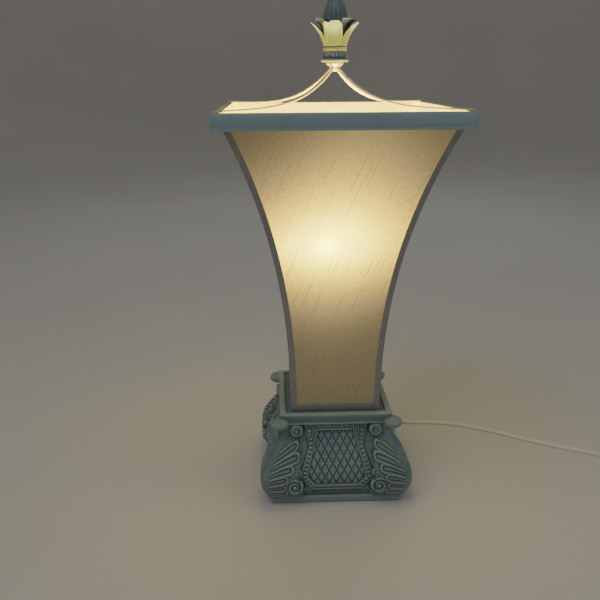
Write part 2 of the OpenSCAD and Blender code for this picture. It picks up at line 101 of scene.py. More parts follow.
def store(obj, name, values):
    """Stores a number or a vector at each point, for the object's material."""
    values = np.asarray(values, dtype=np.float32)
    kind, key = ("FLOAT", "value") if values.ndim == 1 else ("FLOAT_VECTOR", "vector")
    attribute = obj.data.attributes.new(name, kind, "POINT")
    attribute.data.foreach_set(key, values.ravel())


def grid_faces(rows, columns, closed=False, looped=False):
    """Quads between the points of a grid.

    A closed grid joins its last column to its first, a looped one its last row to its first."""
    faces = []
    for row in range(rows if looped else rows - 1):
        here = row * columns
        above = (row + 1) % rows * columns
        for column in range(columns if closed else columns - 1):
            after = (column + 1) % columns
            faces.append((here + column, here + after, above + after, above + column))
    return faces


def tube_parts(rings, caps=True, looped=False):
    """Points and faces of a tube through rings that all have the same number of points."""
    sides = len(rings[0])
    points = [point for ring in rings for point in ring]
    faces = grid_faces(len(rings), sides, closed=True, looped=looped)
    if caps:
        faces.append(tuple(reversed(range(sides))))
        faces.append(tuple(range(len(points) - sides, len(points))))
    return points, faces


def shell_faces(rows, columns):
    """Faces of a front grid, of a back grid behind it and of the rim between them."""
    count = rows * columns
    faces = grid_faces(rows, columns)
    faces += [tuple(count + k for k in reversed(face)) for face in faces]
    rim = list(range(columns))
    rim += [row * columns + columns - 1 for row in range(1, rows)]
    rim += [(rows - 1) * columns + column for column in range(columns - 2, -1, -1)]
    rim += [row * columns for row in range(rows - 2, 0, -1)]
    for here, there in zip(rim, rim[1:] + rim[:1]):
        faces.append((there, here, count + here, count + there))
    return faces


class Builder:
    """Collects closed shells that become one object."""

    def __init__(self):
        self.points = []
        self.faces = []

    def add(self, points, faces):
        """Adds a shell whose faces count from zero."""
        start = len(self.points)
        self.points.extend(points)
        self.faces.extend([tuple(start + i for i in face) for face in faces])

    def tube(self, rings, **kind):
        """Adds a tube through rings of points."""
        self.add(*tube_parts(rings, **kind))

    def object(self, name):
        """Makes the object."""
        return mesh_object(name, self.points, self.faces)


def spun(x, y, side):
    """A place on the front, turned to another side of the lamp."""
    a = math.pi / 2 * side
    return x * math.cos(a) - y * math.sin(a), x * math.sin(a) + y * math.cos(a)


def turned(points, side):
    """Points of the front, turned to another side of the lamp."""
    return [(*spun(x, y, side), z) for x, y, z in points]


def bearing(degrees):
    """The level directions away from the lamp's middle and across, at an angle."""
    a = math.radians(degrees)
    return Vector((math.cos(a), math.sin(a), 0)), Vector((-math.sin(a), math.cos(a), 0))


def circle_ring(radius, z, sides, centre=(0, 0)):
    """A level ring of points."""
    turns = [2 * math.pi * i / sides for i in range(sides)]
    return [(centre[0] + radius * math.cos(a), centre[1] + radius * math.sin(a), z) for a in turns]


def square_ring(half, z, corner, steps):
    """A level square ring with round corners, seen from above counter-clockwise."""
    ring = []
    for quarter in range(4):
        middle = math.radians(45 + 90 * quarter)
        centre_x = math.copysign(half - corner, math.cos(middle))
        centre_y = math.copysign(half - corner, math.sin(middle))
        for i in range(steps + 1):
            a = math.radians(90 * quarter + 90 * i / steps)
            ring.append((centre_x + corner * math.cos(a), centre_y + corner * math.sin(a), z))
    return ring


def soft_edges(obj, angle):
    """Shades an object smooth across its edges, apart from those sharper than an angle in degrees."""
    shape = bmesh.new()
    shape.from_mesh(obj.data)
    limit = math.radians(angle)
    for edge in shape.edges:
        edge.smooth = not (len(edge.link_faces) == 2 and edge.calc_face_angle(0) > limit)
    shape.to_mesh(obj.data)
    shape.free()


def finish_piece(obj, body, slot, replaced=(), sharp=None):
    """Gives a piece its look and body, and hides the CAD nodes that it stands for.

    With sharp, edges up to that angle in degrees are shaded smooth."""
    if sharp:
        soft_edges(obj, sharp)
    obj.data.materials.append(LOOKS[slot])
    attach(obj, body)
    if replaced:
        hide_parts(*replaced)


def smooth_step(low, high, value):
    """0 below low, 1 above high and smooth between them."""
    t = np.clip((value - low) / (high - low), 0, 1)
    return t * t * (3 - 2 * t)


# ---- Material helpers ----

class Look:
    """A Principled material that is put together node by node."""

    def __init__(self, name, colour=(0.8, 0.8, 0.8), roughness=0.5, metallic=0.0):
        self.material = bpy.data.materials.new(name)
        self.material.use_nodes = True
        self.tree = self.material.node_tree
        self.tree.nodes.clear()
        output = self.tree.nodes.new("ShaderNodeOutputMaterial")
        self.shader = self.tree.nodes.new("ShaderNodeBsdfPrincipled")
        self.tree.links.new(self.shader.outputs["BSDF"], output.inputs["Surface"])
        self.set("Base Color", (*colour, 1))
        self.set("Roughness", roughness)
        self.set("Metallic", metallic)
        self.place = self.node("ShaderNodeTexCoord").outputs["Object"]

    def set(self, socket, value):
        """Sets a socket of the shader, or links a node's output to it."""
        self.feed(self.shader.inputs[socket], value)

    def feed(self, socket, value):
        """Gives a socket a value or a link."""
        if isinstance(value, bpy.types.NodeSocket):
            self.tree.links.new(value, socket)
        else:
            socket.default_value = value

    def node(self, kind, inputs=None, **settings):
        """Adds a node with its settings and inputs."""
        made = self.tree.nodes.new(kind)
        for key, value in settings.items():
            setattr(made, key, value)
        for key, value in (inputs or {}).items():
            self.feed(made.inputs[key], value)
        return made

    def attribute(self, name, output="Fac"):
        """A number or vector that the mesh stores at its points."""
        return self.node("ShaderNodeAttribute", attribute_name=name).outputs[output]

    def stretched(self, vector, scale):
        """A place that is stretched along its axes."""
        return self.node("ShaderNodeMapping", {"Vector": vector, "Scale": scale}).outputs["Vector"]

    def noise(self, scale, detail, roughness, vector=None, distortion=0.0):
        """Noise, 0 to 1, with its scale in features per metre."""
        inputs = {"Vector": vector or self.place, "Scale": scale, "Detail": detail,
                  "Roughness": roughness, "Distortion": distortion}
        return self.node("ShaderNodeTexNoise", inputs).outputs["Fac"]

    def waves(self, scale, direction, vector, distortion=0.0):
        """Straight waves along X, Y or Z."""
        inputs = {"Vector": vector, "Scale": scale, "Distortion": distortion}
        return self.node("ShaderNodeTexWave", inputs, bands_direction=direction).outputs["Fac"]

    def ramp(self, value, *stops):
        """A colour for a number: each stop is a place and a colour."""
        made = self.node("ShaderNodeValToRGB", {"Fac": value})
        elements = made.color_ramp.elements
        while len(elements) < len(stops):
            elements.new(0.5)
        for element, (place, colour) in zip(elements, stops):
            element.position = place
            element.color = (*colour, 1)
        return made.outputs["Color"]

    def spread(self, value, low, high, to_low=0.0, to_high=1.0):
        """Maps one range of numbers to another and clamps the result."""
        inputs = {"Value": value, "From Min": low, "From Max": high, "To Min": to_low, "To Max": to_high}
        return self.node("ShaderNodeMapRange", inputs).outputs["Result"]

    def maths(self, operation, a, b):
        """Arithmetic on two numbers."""
        made = self.node("ShaderNodeMath", operation=operation)
        self.feed(made.inputs[0], a)
        self.feed(made.inputs[1], b)
        return made.outputs["Value"]

    def mix(self, factor, a, b):
        """Mixes two colours."""
        made = self.node("ShaderNodeMix", data_type="RGBA")
        self.feed(made.inputs["Factor"], factor)
        self.feed(made.inputs[6], a if isinstance(a, bpy.types.NodeSocket) else (*a, 1))
        self.feed(made.inputs[7], b if isinstance(b, bpy.types.NodeSocket) else (*b, 1))
        return made.outputs[2]

    def bump(self, *layers):
        """Bumps from (height, depth in millimetres) layers."""
        normal = None
        for height, depth in layers:
            inputs = {"Height": height, "Distance": depth * MM, "Strength": 1.0}
            if normal is not None:
                inputs["Normal"] = normal
            normal = self.node("ShaderNodeBump", inputs).outputs["Normal"]
        self.set("Normal", normal)


def rgb(red, green, blue):
    """Linear colour from display values of 0 to 255."""
    return tuple(((c / 255 + 0.055) / 1.055) ** 2.4 if c > 10 else c / 3295 for c in (red, green, blue))


# ---- Materials ----

def resin_look():
    """Cast resin in dusty grey-teal paint, with dark antiquing in its hollows and dry-brushed high edges.

    Painted shade: where the stored hollowness goes above 1, the paint turns deep blue, and slate blue near
    2. On the ledges, balls and finial the lighter raised edges are also a painted highlight."""
    look = Look("cast_resin_paint", roughness=0.55)
    wash_and_shade = look.attribute("wash_and_shade")
    edge = look.attribute("edge")
    cloudy = look.noise(38, 4, 0.6)
    fine = look.noise(900, 3, 0.6)
    paint = look.mix(look.spread(cloudy, 0.35, 0.7), rgb(120, 145, 153), rgb(142, 160, 164))
    dusty = look.mix(look.spread(look.noise(160, 5, 0.7), 0.52, 0.75, 0, 0.5), paint, rgb(164, 173, 168))
    specks = look.spread(fine, 0.62, 0.8, 0, 0.15)
    hollows = look.maths("ADD", look.spread(wash_and_shade, 0.08, 0.8, 0, 0.56), specks)
    washed_and_shaded = look.mix(hollows, dusty, rgb(36, 48, 58))
    # Painted shade: deep blue, then slate blue, for the finial's neck and upper leaves.
    washed_and_shaded = look.mix(look.spread(wash_and_shade, 1.0, 1.5), washed_and_shaded, rgb(24, 36, 92))
    washed_and_shaded = look.mix(look.spread(wash_and_shade, 1.5, 2.0), washed_and_shaded, rgb(76, 92, 168))
    # Lighter raised edges: dry-brushed paint, and on the ledges, balls and finial also a painted highlight.
    brushed = look.mix(look.spread(edge, 0.12, 0.9, 0, 0.6), washed_and_shaded, rgb(190, 206, 208))
    look.set("Base Color", brushed)
    look.set("Roughness", look.spread(look.maths("ADD", wash_and_shade, cloudy), 0.2, 1.4, 0.40, 0.8))
    look.set("Specular IOR Level", 0.15)
    look.bump((look.noise(1500, 3, 0.6), 0.05), (look.noise(220, 4, 0.55), 0.12))
    return look.material


GLOW_STRENGTH = 9.2


def cloth_look():
    """Cream slub cloth, lit from behind: leaning slubs and a fine weave, brightest beside the bulb."""
    look = Look("shade_cloth_slub", roughness=0.85)
    place = look.attribute("cloth", "Vector")
    glow = look.attribute("glow")
    slub_place = look.stretched(place, (860, 9, 1))
    slub = look.spread(look.noise(1, 2, 0.6, slub_place), 0.635, 0.685)
    streak_place = look.stretched(place, (640, 200, 1))
    streak = look.noise(1, 3, 0.6, streak_place)
    warp = look.waves(430, "X", place, 1.5)
    weft = look.waves(430, "Y", place, 1.5)
    weave = look.maths("MULTIPLY", warp, weft)
    cloth = look.mix(look.spread(streak, 0.3, 0.7), rgb(198, 182, 146), rgb(208, 194, 160))
    cloth = look.mix(look.maths("MULTIPLY", slub, 0.6), cloth, rgb(120, 100, 66))
    look.set("Base Color", cloth)
    look.set("Sheen Weight", 0.15)
    look.set("Sheen Roughness", 0.5)
    light = look.ramp(
        glow, (0.0, (1, 0.72, 0.32)), (0.17, (1, 0.70, 0.25)), (0.3, (1, 0.64, 0.09)),
        (0.5, (1, 0.67, 0.015)), (0.72, (1, 0.82, 0.02)), (1.0, (1, 0.93, 0.05)),
    )
    threads = look.spread(streak, 0.25, 0.75, 0.74, 1.24)
    thickness = look.maths("MULTIPLY", slub, look.spread(glow, 0.2, 0.8, 0.6, 0.88))
    shadow = look.maths("SUBTRACT", 1.0, thickness)
    passed = look.maths("MULTIPLY", threads, shadow)
    strength = look.maths("MULTIPLY", passed, look.maths("POWER", glow, 2.0))
    look.set("Emission Color", light)
    look.set("Emission Strength", look.maths("MULTIPLY", strength, GLOW_STRENGTH))
    look.bump((weave, 0.08), (look.noise(1, 2, 0.5, slub_place), 0.12))
    return look.material


def lining_look():
    """Smooth cream lining, which the bulb lights, with that light also painted in as an even yellow glow.
    """
    look = Look("lining_cloth", roughness=0.8)
    place = look.attribute("cloth", "Vector")
    weave = look.maths("MULTIPLY", look.waves(600, "X", place), look.waves(600, "Y", place))
    patches = look.noise(30, 3, 0.5)
    look.set("Base Color", look.mix(look.spread(patches, 0.3, 0.7), rgb(232, 212, 128), rgb(240, 222, 142)))
    # Painted light: an even yellow glow for the bulb's light on the lining.
    look.set("Emission Color", (1, 0.85, 0.03, 1))
    look.set("Emission Strength", 1.7)
    look.bump((weave, 0.05))
    return look.material


def ribbon_look():
    """Pale blue-grey grosgrain ribbon with fine ribs across it."""
    look = Look("grosgrain_ribbon", roughness=0.75)
    place = look.attribute("cloth", "Vector")
    ribs = look.waves(380, "Y", place, 0.4)
    worn = look.noise(240, 4, 0.6)
    blue = look.mix(look.spread(worn, 0.35, 0.7), rgb(164, 164, 164), rgb(178, 177, 174))
    # Painted shade in the grooves between the ribs.
    look.set("Base Color", look.mix(look.spread(ribs, 0, 0.5, 0.35, 0), blue, rgb(96, 102, 110)))
    look.set("Sheen Weight", 0.2)
    look.bump((ribs, 0.15))
    return look.material


def paint_look(name, colour, second, roughness):
    """Satin paint, slightly uneven, with rubbed spots."""
    look = Look(name, roughness=roughness)
    broad = look.noise(24, 4, 0.6)
    fine = look.noise(700, 3, 0.6)
    base = look.mix(look.spread(broad, 0.35, 0.68), colour, second)
    specks = look.spread(fine, 0.66, 0.8, 0, 0.4)
    look.set("Base Color", look.mix(specks, base, tuple(c * 0.6 for c in colour)))
    look.set("Roughness", look.spread(broad, 0.3, 0.7, roughness - 0.06, roughness + 0.12))
    look.bump((look.noise(320, 4, 0.6), 0.05))
    return look.material


def metal_look(name, colour, dark, roughness, brushed="Z"):
    """Bare metal with fine turning lines and a little tarnish."""
    look = Look(name, roughness=roughness, metallic=1.0)
    tarnish = look.noise(160, 5, 0.65)
    lines = look.waves(700, brushed, look.place, 2.0)
    look.set("Base Color", look.mix(look.spread(tarnish, 0.45, 0.75), colour, dark))
    look.set("Roughness", look.spread(tarnish, 0.3, 0.75, roughness, roughness + 0.22))
    look.bump((lines, 0.015), (look.noise(420, 3, 0.6), 0.02))
    return look.material


def plastic_look(name, colour, second, roughness, grain=900):
    """Moulded plastic with a faint grain and slight yellowing."""
    look = Look(name, roughness=roughness)
    patches = look.noise(45, 3, 0.6)
    look.set("Base Color", look.mix(look.spread(patches, 0.35, 0.7), colour, second))
    rubbed = look.noise(260, 4, 0.6)
    look.set("Roughness", look.spread(rubbed, 0.3, 0.7, roughness - 0.05, roughness + 0.12))
    look.bump((look.noise(grain, 2, 0.5), 0.03))
    return look.material


def felt_look():
    """Dark green felt with short fibres."""
    look = Look("green_felt", roughness=0.95)
    fibres = look.noise(1400, 5, 0.8, distortion=1.2)
    look.set("Base Color", look.mix(look.spread(fibres, 0.35, 0.65), rgb(48, 66, 54), rgb(76, 96, 80)))
    look.set("Sheen Weight", 0.4)
    look.bump((fibres, 0.25))
    return look.material


def board_look():
    """Brown hardboard with pressed fibres."""
    look = Look("brown_board", roughness=0.8)
    fibres = look.noise(260, 6, 0.7, distortion=0.8)
    look.set("Base Color", look.mix(look.spread(fibres, 0.35, 0.65), rgb(112, 84, 58), rgb(140, 108, 76)))
    look.bump((fibres, 0.1))
    return look.material


BULB_STRENGTH = 9.0


def bulb_look():
    """Frosted glass that glows warm, dimmer towards its neck."""
    look = Look("frosted_glass_lit", rgb(250, 240, 220), roughness=0.45)
    height = look.node("ShaderNodeSeparateXYZ", {"Vector": look.place}).outputs["Z"]
    neck = look.spread(height, 0.256, 0.285)
    frost = look.spread(look.noise(500, 3, 0.5), 0.3, 0.7, 0.94, 1.0)
    look.set("Emission Color", look.mix(neck, rgb(255, 196, 118), rgb(255, 222, 160)))
    strength = look.spread(neck, 0, 1, BULB_STRENGTH * 0.25, BULB_STRENGTH)
    look.set("Emission Strength", look.maths("MULTIPLY", strength, frost))
    look.bump((look.noise(900, 2, 0.5), 0.02))
    return look.material


def floor_look():
    """Plain pale floor."""
    look = Look("pale_floor", roughness=0.85)
    patches = look.noise(2.0, 3, 0.5)
    look.set("Base Color", look.mix(look.spread(patches, 0.3, 0.7), rgb(232, 229, 223), rgb(238, 235, 230)))
    return look.material


LOOKS = {
    "cast_resin": resin_look(),
    "shade_cloth": cloth_look(),
    "lining_cloth": lining_look(),
    "ribbon": ribbon_look(),
    "rim_paint": paint_look("rim_paint_blue", rgb(158, 183, 196), rgb(170, 193, 204), 0.45),
    "crown_paint": paint_look("crown_paint_cream", rgb(230, 222, 172), rgb(236, 229, 186), 0.35),
    "frame_wire": metal_look("frame_wire_steel", rgb(150, 150, 150), rgb(112, 108, 104), 0.42, "X"),
    "brass_hardware": metal_look("brass_plain", rgb(206, 168, 96), rgb(150, 114, 62), 0.26),
    "socket_brass": metal_look("brass_socket", rgb(212, 178, 108), rgb(166, 130, 74), 0.22),
    "zinc_steel": metal_look("zinc_steel", rgb(178, 180, 182), rgb(132, 134, 138), 0.34),
    "insulating_card": plastic_look("insulating_card", rgb(96, 72, 46), rgb(110, 84, 56), 0.75, 500),
    "phenolic": plastic_look("phenolic_moulding", rgb(52, 36, 28), rgb(62, 44, 34), 0.3),
    "frosted_glass": bulb_look(),
    "bulb_metal": metal_look("bulb_nickel", rgb(196, 192, 182), rgb(150, 146, 138), 0.25),
    "lead_jacket": plastic_look("lead_jacket_ivory", rgb(248, 246, 240), rgb(252, 250, 246), 0.42, 1200),
    "switch_plastic": plastic_look("ivory_moulding", rgb(216, 210, 190), rgb(224, 219, 201), 0.34),
    "rocker_plastic": plastic_look("rocker_moulding", rgb(190, 182, 158), rgb(200, 192, 170), 0.3),
    "plug_metal": metal_look("plug_blade_nickel", rgb(196, 190, 176), rgb(158, 150, 134), 0.24, "X"),
    "felt": felt_look(),
    "cover_board": board_look(),
}


# ---- The lead, its coil and its tie ----

LEAD_W = 6.5
LEAD_T = 3.3
LEAD_Z = 1.75
LAMP_ROUTE = [
    (0, 104, 14.5), (0, 114, 14), (2, 124, 12), (8, 136, 8), (19, 146, 4.5), (34, 151, 2.2),
    (50, 149, LEAD_Z), (68, 142, LEAD_Z), (85, 132, LEAD_Z), (100, 124, LEAD_Z), (114, 118, LEAD_Z),
    (126, 115, LEAD_Z), (145, 113, LEAD_Z), (168, 111, LEAD_Z), (195, 103, LEAD_Z), (221, 91, LEAD_Z),
    (247, 76, LEAD_Z), (273, 58, LEAD_Z), (300, 43, LEAD_Z), (330, 27, LEAD_Z), (362, 11, LEAD_Z),
    (378.3, 2.4, 4),
]
COIL_ROUTE = [(429.7, -24.4, 4), (440, -29.7, LEAD_Z), (455, -37.5, LEAD_Z), (469, -44.8, LEAD_Z)]
PLUG_ROUTE = [(489, 39, 5.2), (476, 39.5, 5.4), (464, 40, 6.2), (455, 40, 6.5)]
COIL_AT = (489.8, -5.5)
COIL_OUTER_R = 44.4
COIL_INNER_R = 26
COIL_START = -117.5
COIL_TURNS = 5.576
COIL_RINGS_PER_TURN = 40
UPPER_LAYER_Z = 5.15


def smooth_route(route, steps):
    """Points on a smooth curve through the route's points."""
    points = [Vector(p) for p in route]
    last = len(points) - 1
    result = []
    for i in range(last):
        a, b = points[max(i - 1, 0)], points[i]
        c, d = points[i + 1], points[min(i + 2, last)]
        for k in range(steps):
            t = k / steps
            result.append(0.5 * (
                2 * b + (c - a) * t + (2 * a - 5 * b + 4 * c - d) * t ** 2
                + (3 * b - a - 3 * c + d) * t ** 3))
    result.append(points[last])
    return result


def coil_points():
    """The lead's turns: inwards along the table, then outwards on top of the first layer."""
    count = round(COIL_TURNS * COIL_RINGS_PER_TURN)
    points = []
    for i in range(1, count):
        turn = COIL_TURNS * i / count
        share = abs(1 - turn / (COIL_TURNS / 2))
        radius = COIL_INNER_R + (COIL_OUTER_R - COIL_INNER_R) * share
        angle = math.radians(COIL_START + 360 * turn)
        lift = float(smooth_step(-0.06, 0.06, turn / COIL_TURNS - 0.5))
        z = LEAD_Z + (UPPER_LAYER_Z - LEAD_Z) * lift
        points.append(Vector((
            COIL_AT[0] + radius * math.cos(angle), COIL_AT[1] + radius * math.sin(angle), z)))
    return points


def lead_path():
    """The lead's middle from the base to the plug."""
    lamp = smooth_route(LAMP_ROUTE, 5)
    to_coil = smooth_route(COIL_ROUTE, 4)
    inside_switch = [lamp[-1].lerp(to_coil[0], k / 10) for k in range(1, 10)]
    return lamp + inside_switch + to_coil[:-1] + coil_points() + smooth_route(PLUG_ROUTE, 4)


def flat_twin_section():
    """The lead's section: two round cores side by side with a groove between them."""
    radius = LEAD_T / 2
    offset = (LEAD_W - LEAD_T) / 2
    turns = [math.radians(a) for a in range(-100, 101, 25)]
    right = [(offset + radius * math.cos(a), radius * math.sin(a)) for a in turns]
    left = [(-x, -y) for x, y in right]
    return right + [(0, 1.12)] + left + [(0, -1.12)]


def sweep_rings(path, section):
    """The section at each point of the path, with its width level."""
    rings = []
    for i, point in enumerate(path):
        ahead = (path[min(i + 1, len(path) - 1)] - path[max(i - 1, 0)]).normalized()
        across = Vector((0, 0, 1)).cross(ahead).normalized()
        up = ahead.cross(across).normalized()
        rings.append([tuple(point + across * x + up * y) for x, y in section])
    return rings


def make_lead():
    """The flat twin lead as one tube, with its tie round the coil."""
    path = lead_path()
    lead = mesh_object("flat_twin_lead", *tube_parts(sweep_rings(path, flat_twin_section())))
    finish_piece(lead, "base", "lead_jacket", ["cord_lead", "cord_coil"])
    tie = make_tie()
    finish_piece(tie, "base", "switch_plastic")


def make_tie():
    """A ribbed tie round the coil, with its wire ends twisted together on the outside."""
    outwards, along = bearing(-35)
    centre = Vector((*COIL_AT, 0))
    inner_r, outer_r, low, high = 22.2, 48.1, 0.35, 7.35
    corners = [(inner_r, low), (outer_r, low), (outer_r, high), (inner_r, high)]
    loop = []
    for (ar, az), (br, bz) in zip(corners, corners[1:] + corners[:1]):
        loop.extend([(ar + (br - ar) * t, az + (bz - az) * t) for t in (0.04, 0.3, 0.7, 0.96)])
    section = [(-2.2, -0.25), (-1.8, 0.05), (-0.5, 0.05), (0, 0.35), (0.5, 0.05), (1.8, 0.05), (2.2, -0.25)]
    builder = Builder()
    rings = []
    for k, (r, z) in enumerate(loop):
        before, after = loop[k - 1], loop[(k + 1) % len(loop)]
        heading = Vector((after[0] - before[0], after[1] - before[1])).normalized()
        normal = Vector((heading.y, -heading.x))
        rings.append([
            tuple(centre + outwards * (r + normal.x * y) + along * x + Vector((0, 0, z + normal.y * y)))
            for x, y in section])
    builder.tube(rings, caps=False, looped=True)
    for strand in (0, 1):
        twist = []
        for k in range(25):
            t = k / 24
            a = strand * math.pi + t * 5 * math.pi
            away = outer_r + 0.6 + 11 * t
            aside = math.cos(a) + 3 * t
            up = Vector((0, 0, 4.5 + math.sin(a) - 2.4 * t))
            twist.append(centre + outwards * away + along * aside + up)
        turns = np.linspace(0, 2 * math.pi, 9)[:-1]
        wire = [(0.75 * math.cos(a), 0.75 * math.sin(a)) for a in turns]
        builder.tube(sweep_rings(twist, wire))
    return builder.object("coil_tie")


make_lead()


# ---- Base casting ----

PLINTH_H = 9.6
NECK_HALF = 60.5
WAIST_HALF = 65.5
BELLY_HALF = 81
SCROLL_HALF = 88.2
BELLY_Z = 33
NECK_Z = 90
SCROLL_BELLY_Z = 33
SCROLL_TOP_Z = 87
FASCIA_Z = 97.2
LEDGE_Z = 110.4
FLANK_X = 45
SPINE_R = 7.5
LATTICE_OUTLINE = [(20, 87.5), (25.2, 71), (33.2, 43), (33.5, 37), (25.4, 27.5)]
FRAME_OUTLINE = [(37, 96), (31.8, 70), (41.3, 43), (41.3, 36), (29, 20.5)]
BEAD_LINE = [(31, 87), (28.9, 71), (37.4, 43), (37.4, 36.8), (27.2, 24.2)]
BEAD_R = 1.75
BEAD_PITCH = 4.6
OVAL_Z = 92.8
OVAL_PITCH = 6.6
LATTICE_Z = 59
DIAMOND_W = 8.9
DIAMOND_H = 15
BOSS_Y = 80.2
BOSS_Z = 14.5
HOLLOW_HALF = 61
HOLLOW_TOP_Z = 58
MOUTH_HALF = 54
BALL_AT = 66.5
BALL_Z = 99.5
BALL_R = 10.8
BALL_HALF_H = 6.6
BODY_ROWS = 97
LATTICE_COLUMNS = 126
SIDE_COLUMNS = 46
SPINE_COLUMNS = 8


def face_half(z):
    """Half-width of the body's faces at a height."""
    swell = (1 + np.cos(np.pi * (z - BELLY_Z) / (NECK_Z - BELLY_Z))) / 2
    upper = NECK_HALF + (BELLY_HALF - NECK_HALF) * swell
    lower = BELLY_HALF - 4.5 * ((BELLY_Z - z) / (BELLY_Z - PLINTH_H)) ** 2
    return np.where(z > NECK_Z, NECK_HALF, np.where(z > BELLY_Z, upper, lower))


def scroll_half(z):
    """Half-width of the corner scrolls at a height."""
    swell = (1 + np.cos(np.pi * (z - SCROLL_BELLY_Z) / (SCROLL_TOP_Z - SCROLL_BELLY_Z))) / 2
    upper = WAIST_HALF + (SCROLL_HALF - WAIST_HALF) * np.clip(swell, 0, 1) ** 0.72
    below = np.clip((SCROLL_BELLY_Z - z) / (SCROLL_BELLY_Z - PLINTH_H), 0, 2)
    lower = SCROLL_HALF - 7.6 * below ** 1.9
    return np.where(z > SCROLL_TOP_Z, WAIST_HALF, np.where(z > SCROLL_BELLY_Z, upper, lower))


def outline_distance(x, z, corners):
    """Distance to a closed outline that is the same left and right, less than zero inside it."""
    corners = corners + [(-a, b) for a, b in reversed(corners)]
    inside = np.zeros(x.shape, bool)
    nearest = np.full(x.shape, 1e9)
    for (ax, az), (bx, bz) in zip(corners, corners[1:] + corners[:1]):
        dx, dz = bx - ax, bz - az
        along = np.clip(((x - ax) * dx + (z - az) * dz) / (dx * dx + dz * dz), 0, 1)
        nearest = np.minimum(nearest, np.hypot(x - ax - along * dx, z - az - along * dz))
        crosses = ((az > z) != (bz > z)) & (x < ax + (z - az) * dx / (dz if dz else 1e-9))
        inside ^= crosses
    return np.where(inside, -nearest, nearest)


def ridge(distance, width, height):
    """A rounded line where distance is about zero."""
    return height * np.exp(-(distance / width) ** 2)


def points_along(line, pitch):
    """Evenly spaced places on a line of corners."""
    places = []
    carried = 0.0
    for (ax, az), (bx, bz) in zip(line, line[1:]):
        length = math.hypot(bx - ax, bz - az)
        at = carried
        while at < length:
            places.append((ax + (bx - ax) * at / length, az + (bz - az) * at / length))
            at += pitch
        carried = at - length
    return places


def dome(x, z, centre, radii, height):
    """A low oval dome."""
    share = 1 - ((x - centre[0]) / radii[0]) ** 2 - ((z - centre[1]) / radii[1]) ** 2
    return height * np.sqrt(np.clip(share, 0, 1))


def lattice_relief(x, z):
    """Diamond lattice: dark grooves, pillowed diamonds and a pip in each."""
    inside = smooth_step(0.4, -0.6, outline_distance(x, z, LATTICE_OUTLINE))
    slope = math.hypot(1 / DIAMOND_W, 1 / DIAMOND_H)
    a = x / DIAMOND_W + (z - LATTICE_Z) / DIAMOND_H
    b = x / DIAMOND_W - (z - LATTICE_Z) / DIAMOND_H
    to_line = np.minimum(np.abs(a - np.round(a)), np.abs(b - np.round(b))) / slope
    part_a = a - np.floor(a) - 0.5
    part_b = b - np.floor(b) - 0.5
    across = DIAMOND_W * (part_a + part_b) / 2
    up = DIAMOND_H * (part_a - part_b) / 2
    pip = 0.45 * np.exp(-(across ** 2 + up ** 2) / 0.9)
    pillow = 0.35 * smooth_step(0.3, 2.6, to_line)
    return inside * (pillow + pip - ridge(to_line, 0.62, 1.15) - 0.25)


def frame_relief(x, z):
    """The border of the lattice: inner lines, beads, ribs, an outer line, and ovals and darts on top."""
    side = np.abs(x)
    to_lattice = outline_distance(x, z, LATTICE_OUTLINE)
    to_outside = outline_distance(x, z, FRAME_OUTLINE)
    band = smooth_step(0.8, -0.4, to_outside) * smooth_step(-0.3, 0.5, to_lattice)
    relief = 0.9 * band
    relief += ridge(to_lattice - 0.7, 0.5, 1.0) + ridge(to_lattice - 2.0, 0.35, 0.45) * band
    relief += ridge(to_outside + 0.6, 0.55, 1.0)
    for centre in points_along(BEAD_LINE, BEAD_PITCH):
        relief += dome(side, z, centre, (BEAD_R, BEAD_R), 1.5)
    ribs = band * smooth_step(77, 79, z) * smooth_step(95, 94, z) * smooth_step(22.5, 23.5, side)
    relief += ribs * 0.45 * np.cos(2 * np.pi * side / 2.7)
    top_band = smooth_step(88.6, 89.4, z) * smooth_step(36.5, 35.5, side)
    relief += top_band * (ridge(z - 89.6, 0.4, 0.6) + ridge(z - 96.0, 0.45, 0.7) - 0.2)
    for k in range(-3, 4):
        relief += dome(x, z, (k * OVAL_PITCH, OVAL_Z), (2.5, 1.6), 0.9)
    for k in range(-3, 3):
        relief += dome(x, z, (k * OVAL_PITCH + OVAL_PITCH / 2, OVAL_Z), (0.7, 1.9), 0.6)
    return relief


def foot_relief(x, z):
    """Under the lattice: a line, a row of dentils and a shadowed hollow over the plinth."""
    side = np.abs(x)
    middle = smooth_step(31, 28, side)
    relief = middle * (ridge(z - 24.6, 0.55, 0.9) - smooth_step(23.8, 23.0, z) * 0.5)
    dentils = smooth_step(-0.1, 0.35, np.cos(2 * np.pi * x / 3.4))
    relief += middle * dentils * smooth_step(19.2, 19.8, z) * smooth_step(22.8, 22.2, z) * 1.2
    above_plinth = smooth_step(PLINTH_H - 0.4, PLINTH_H + 0.5, z)
    hollow = smooth_step(18.4, 16.8, z) * above_plinth * smooth_step(41, 38, side)
    return relief - 1.2 * hollow


# Each leaf lobe: height of its tip, how far out the tip is, how steeply it falls, and its half-width.
LEAF_LOBES = [
    (84.5, 3.5, 0.75, 3.0), (75.5, -1.0, 0.48, 5.4), (63.2, -2.5, 0.26, 6.0), (50.0, 5.0, 0.16, 5.8),
    (38.2, 11.5, 0.10, 5.2), (27.6, 15.0, 0.02, 4.6), (18.4, 12.5, -0.06, 4.6),
]


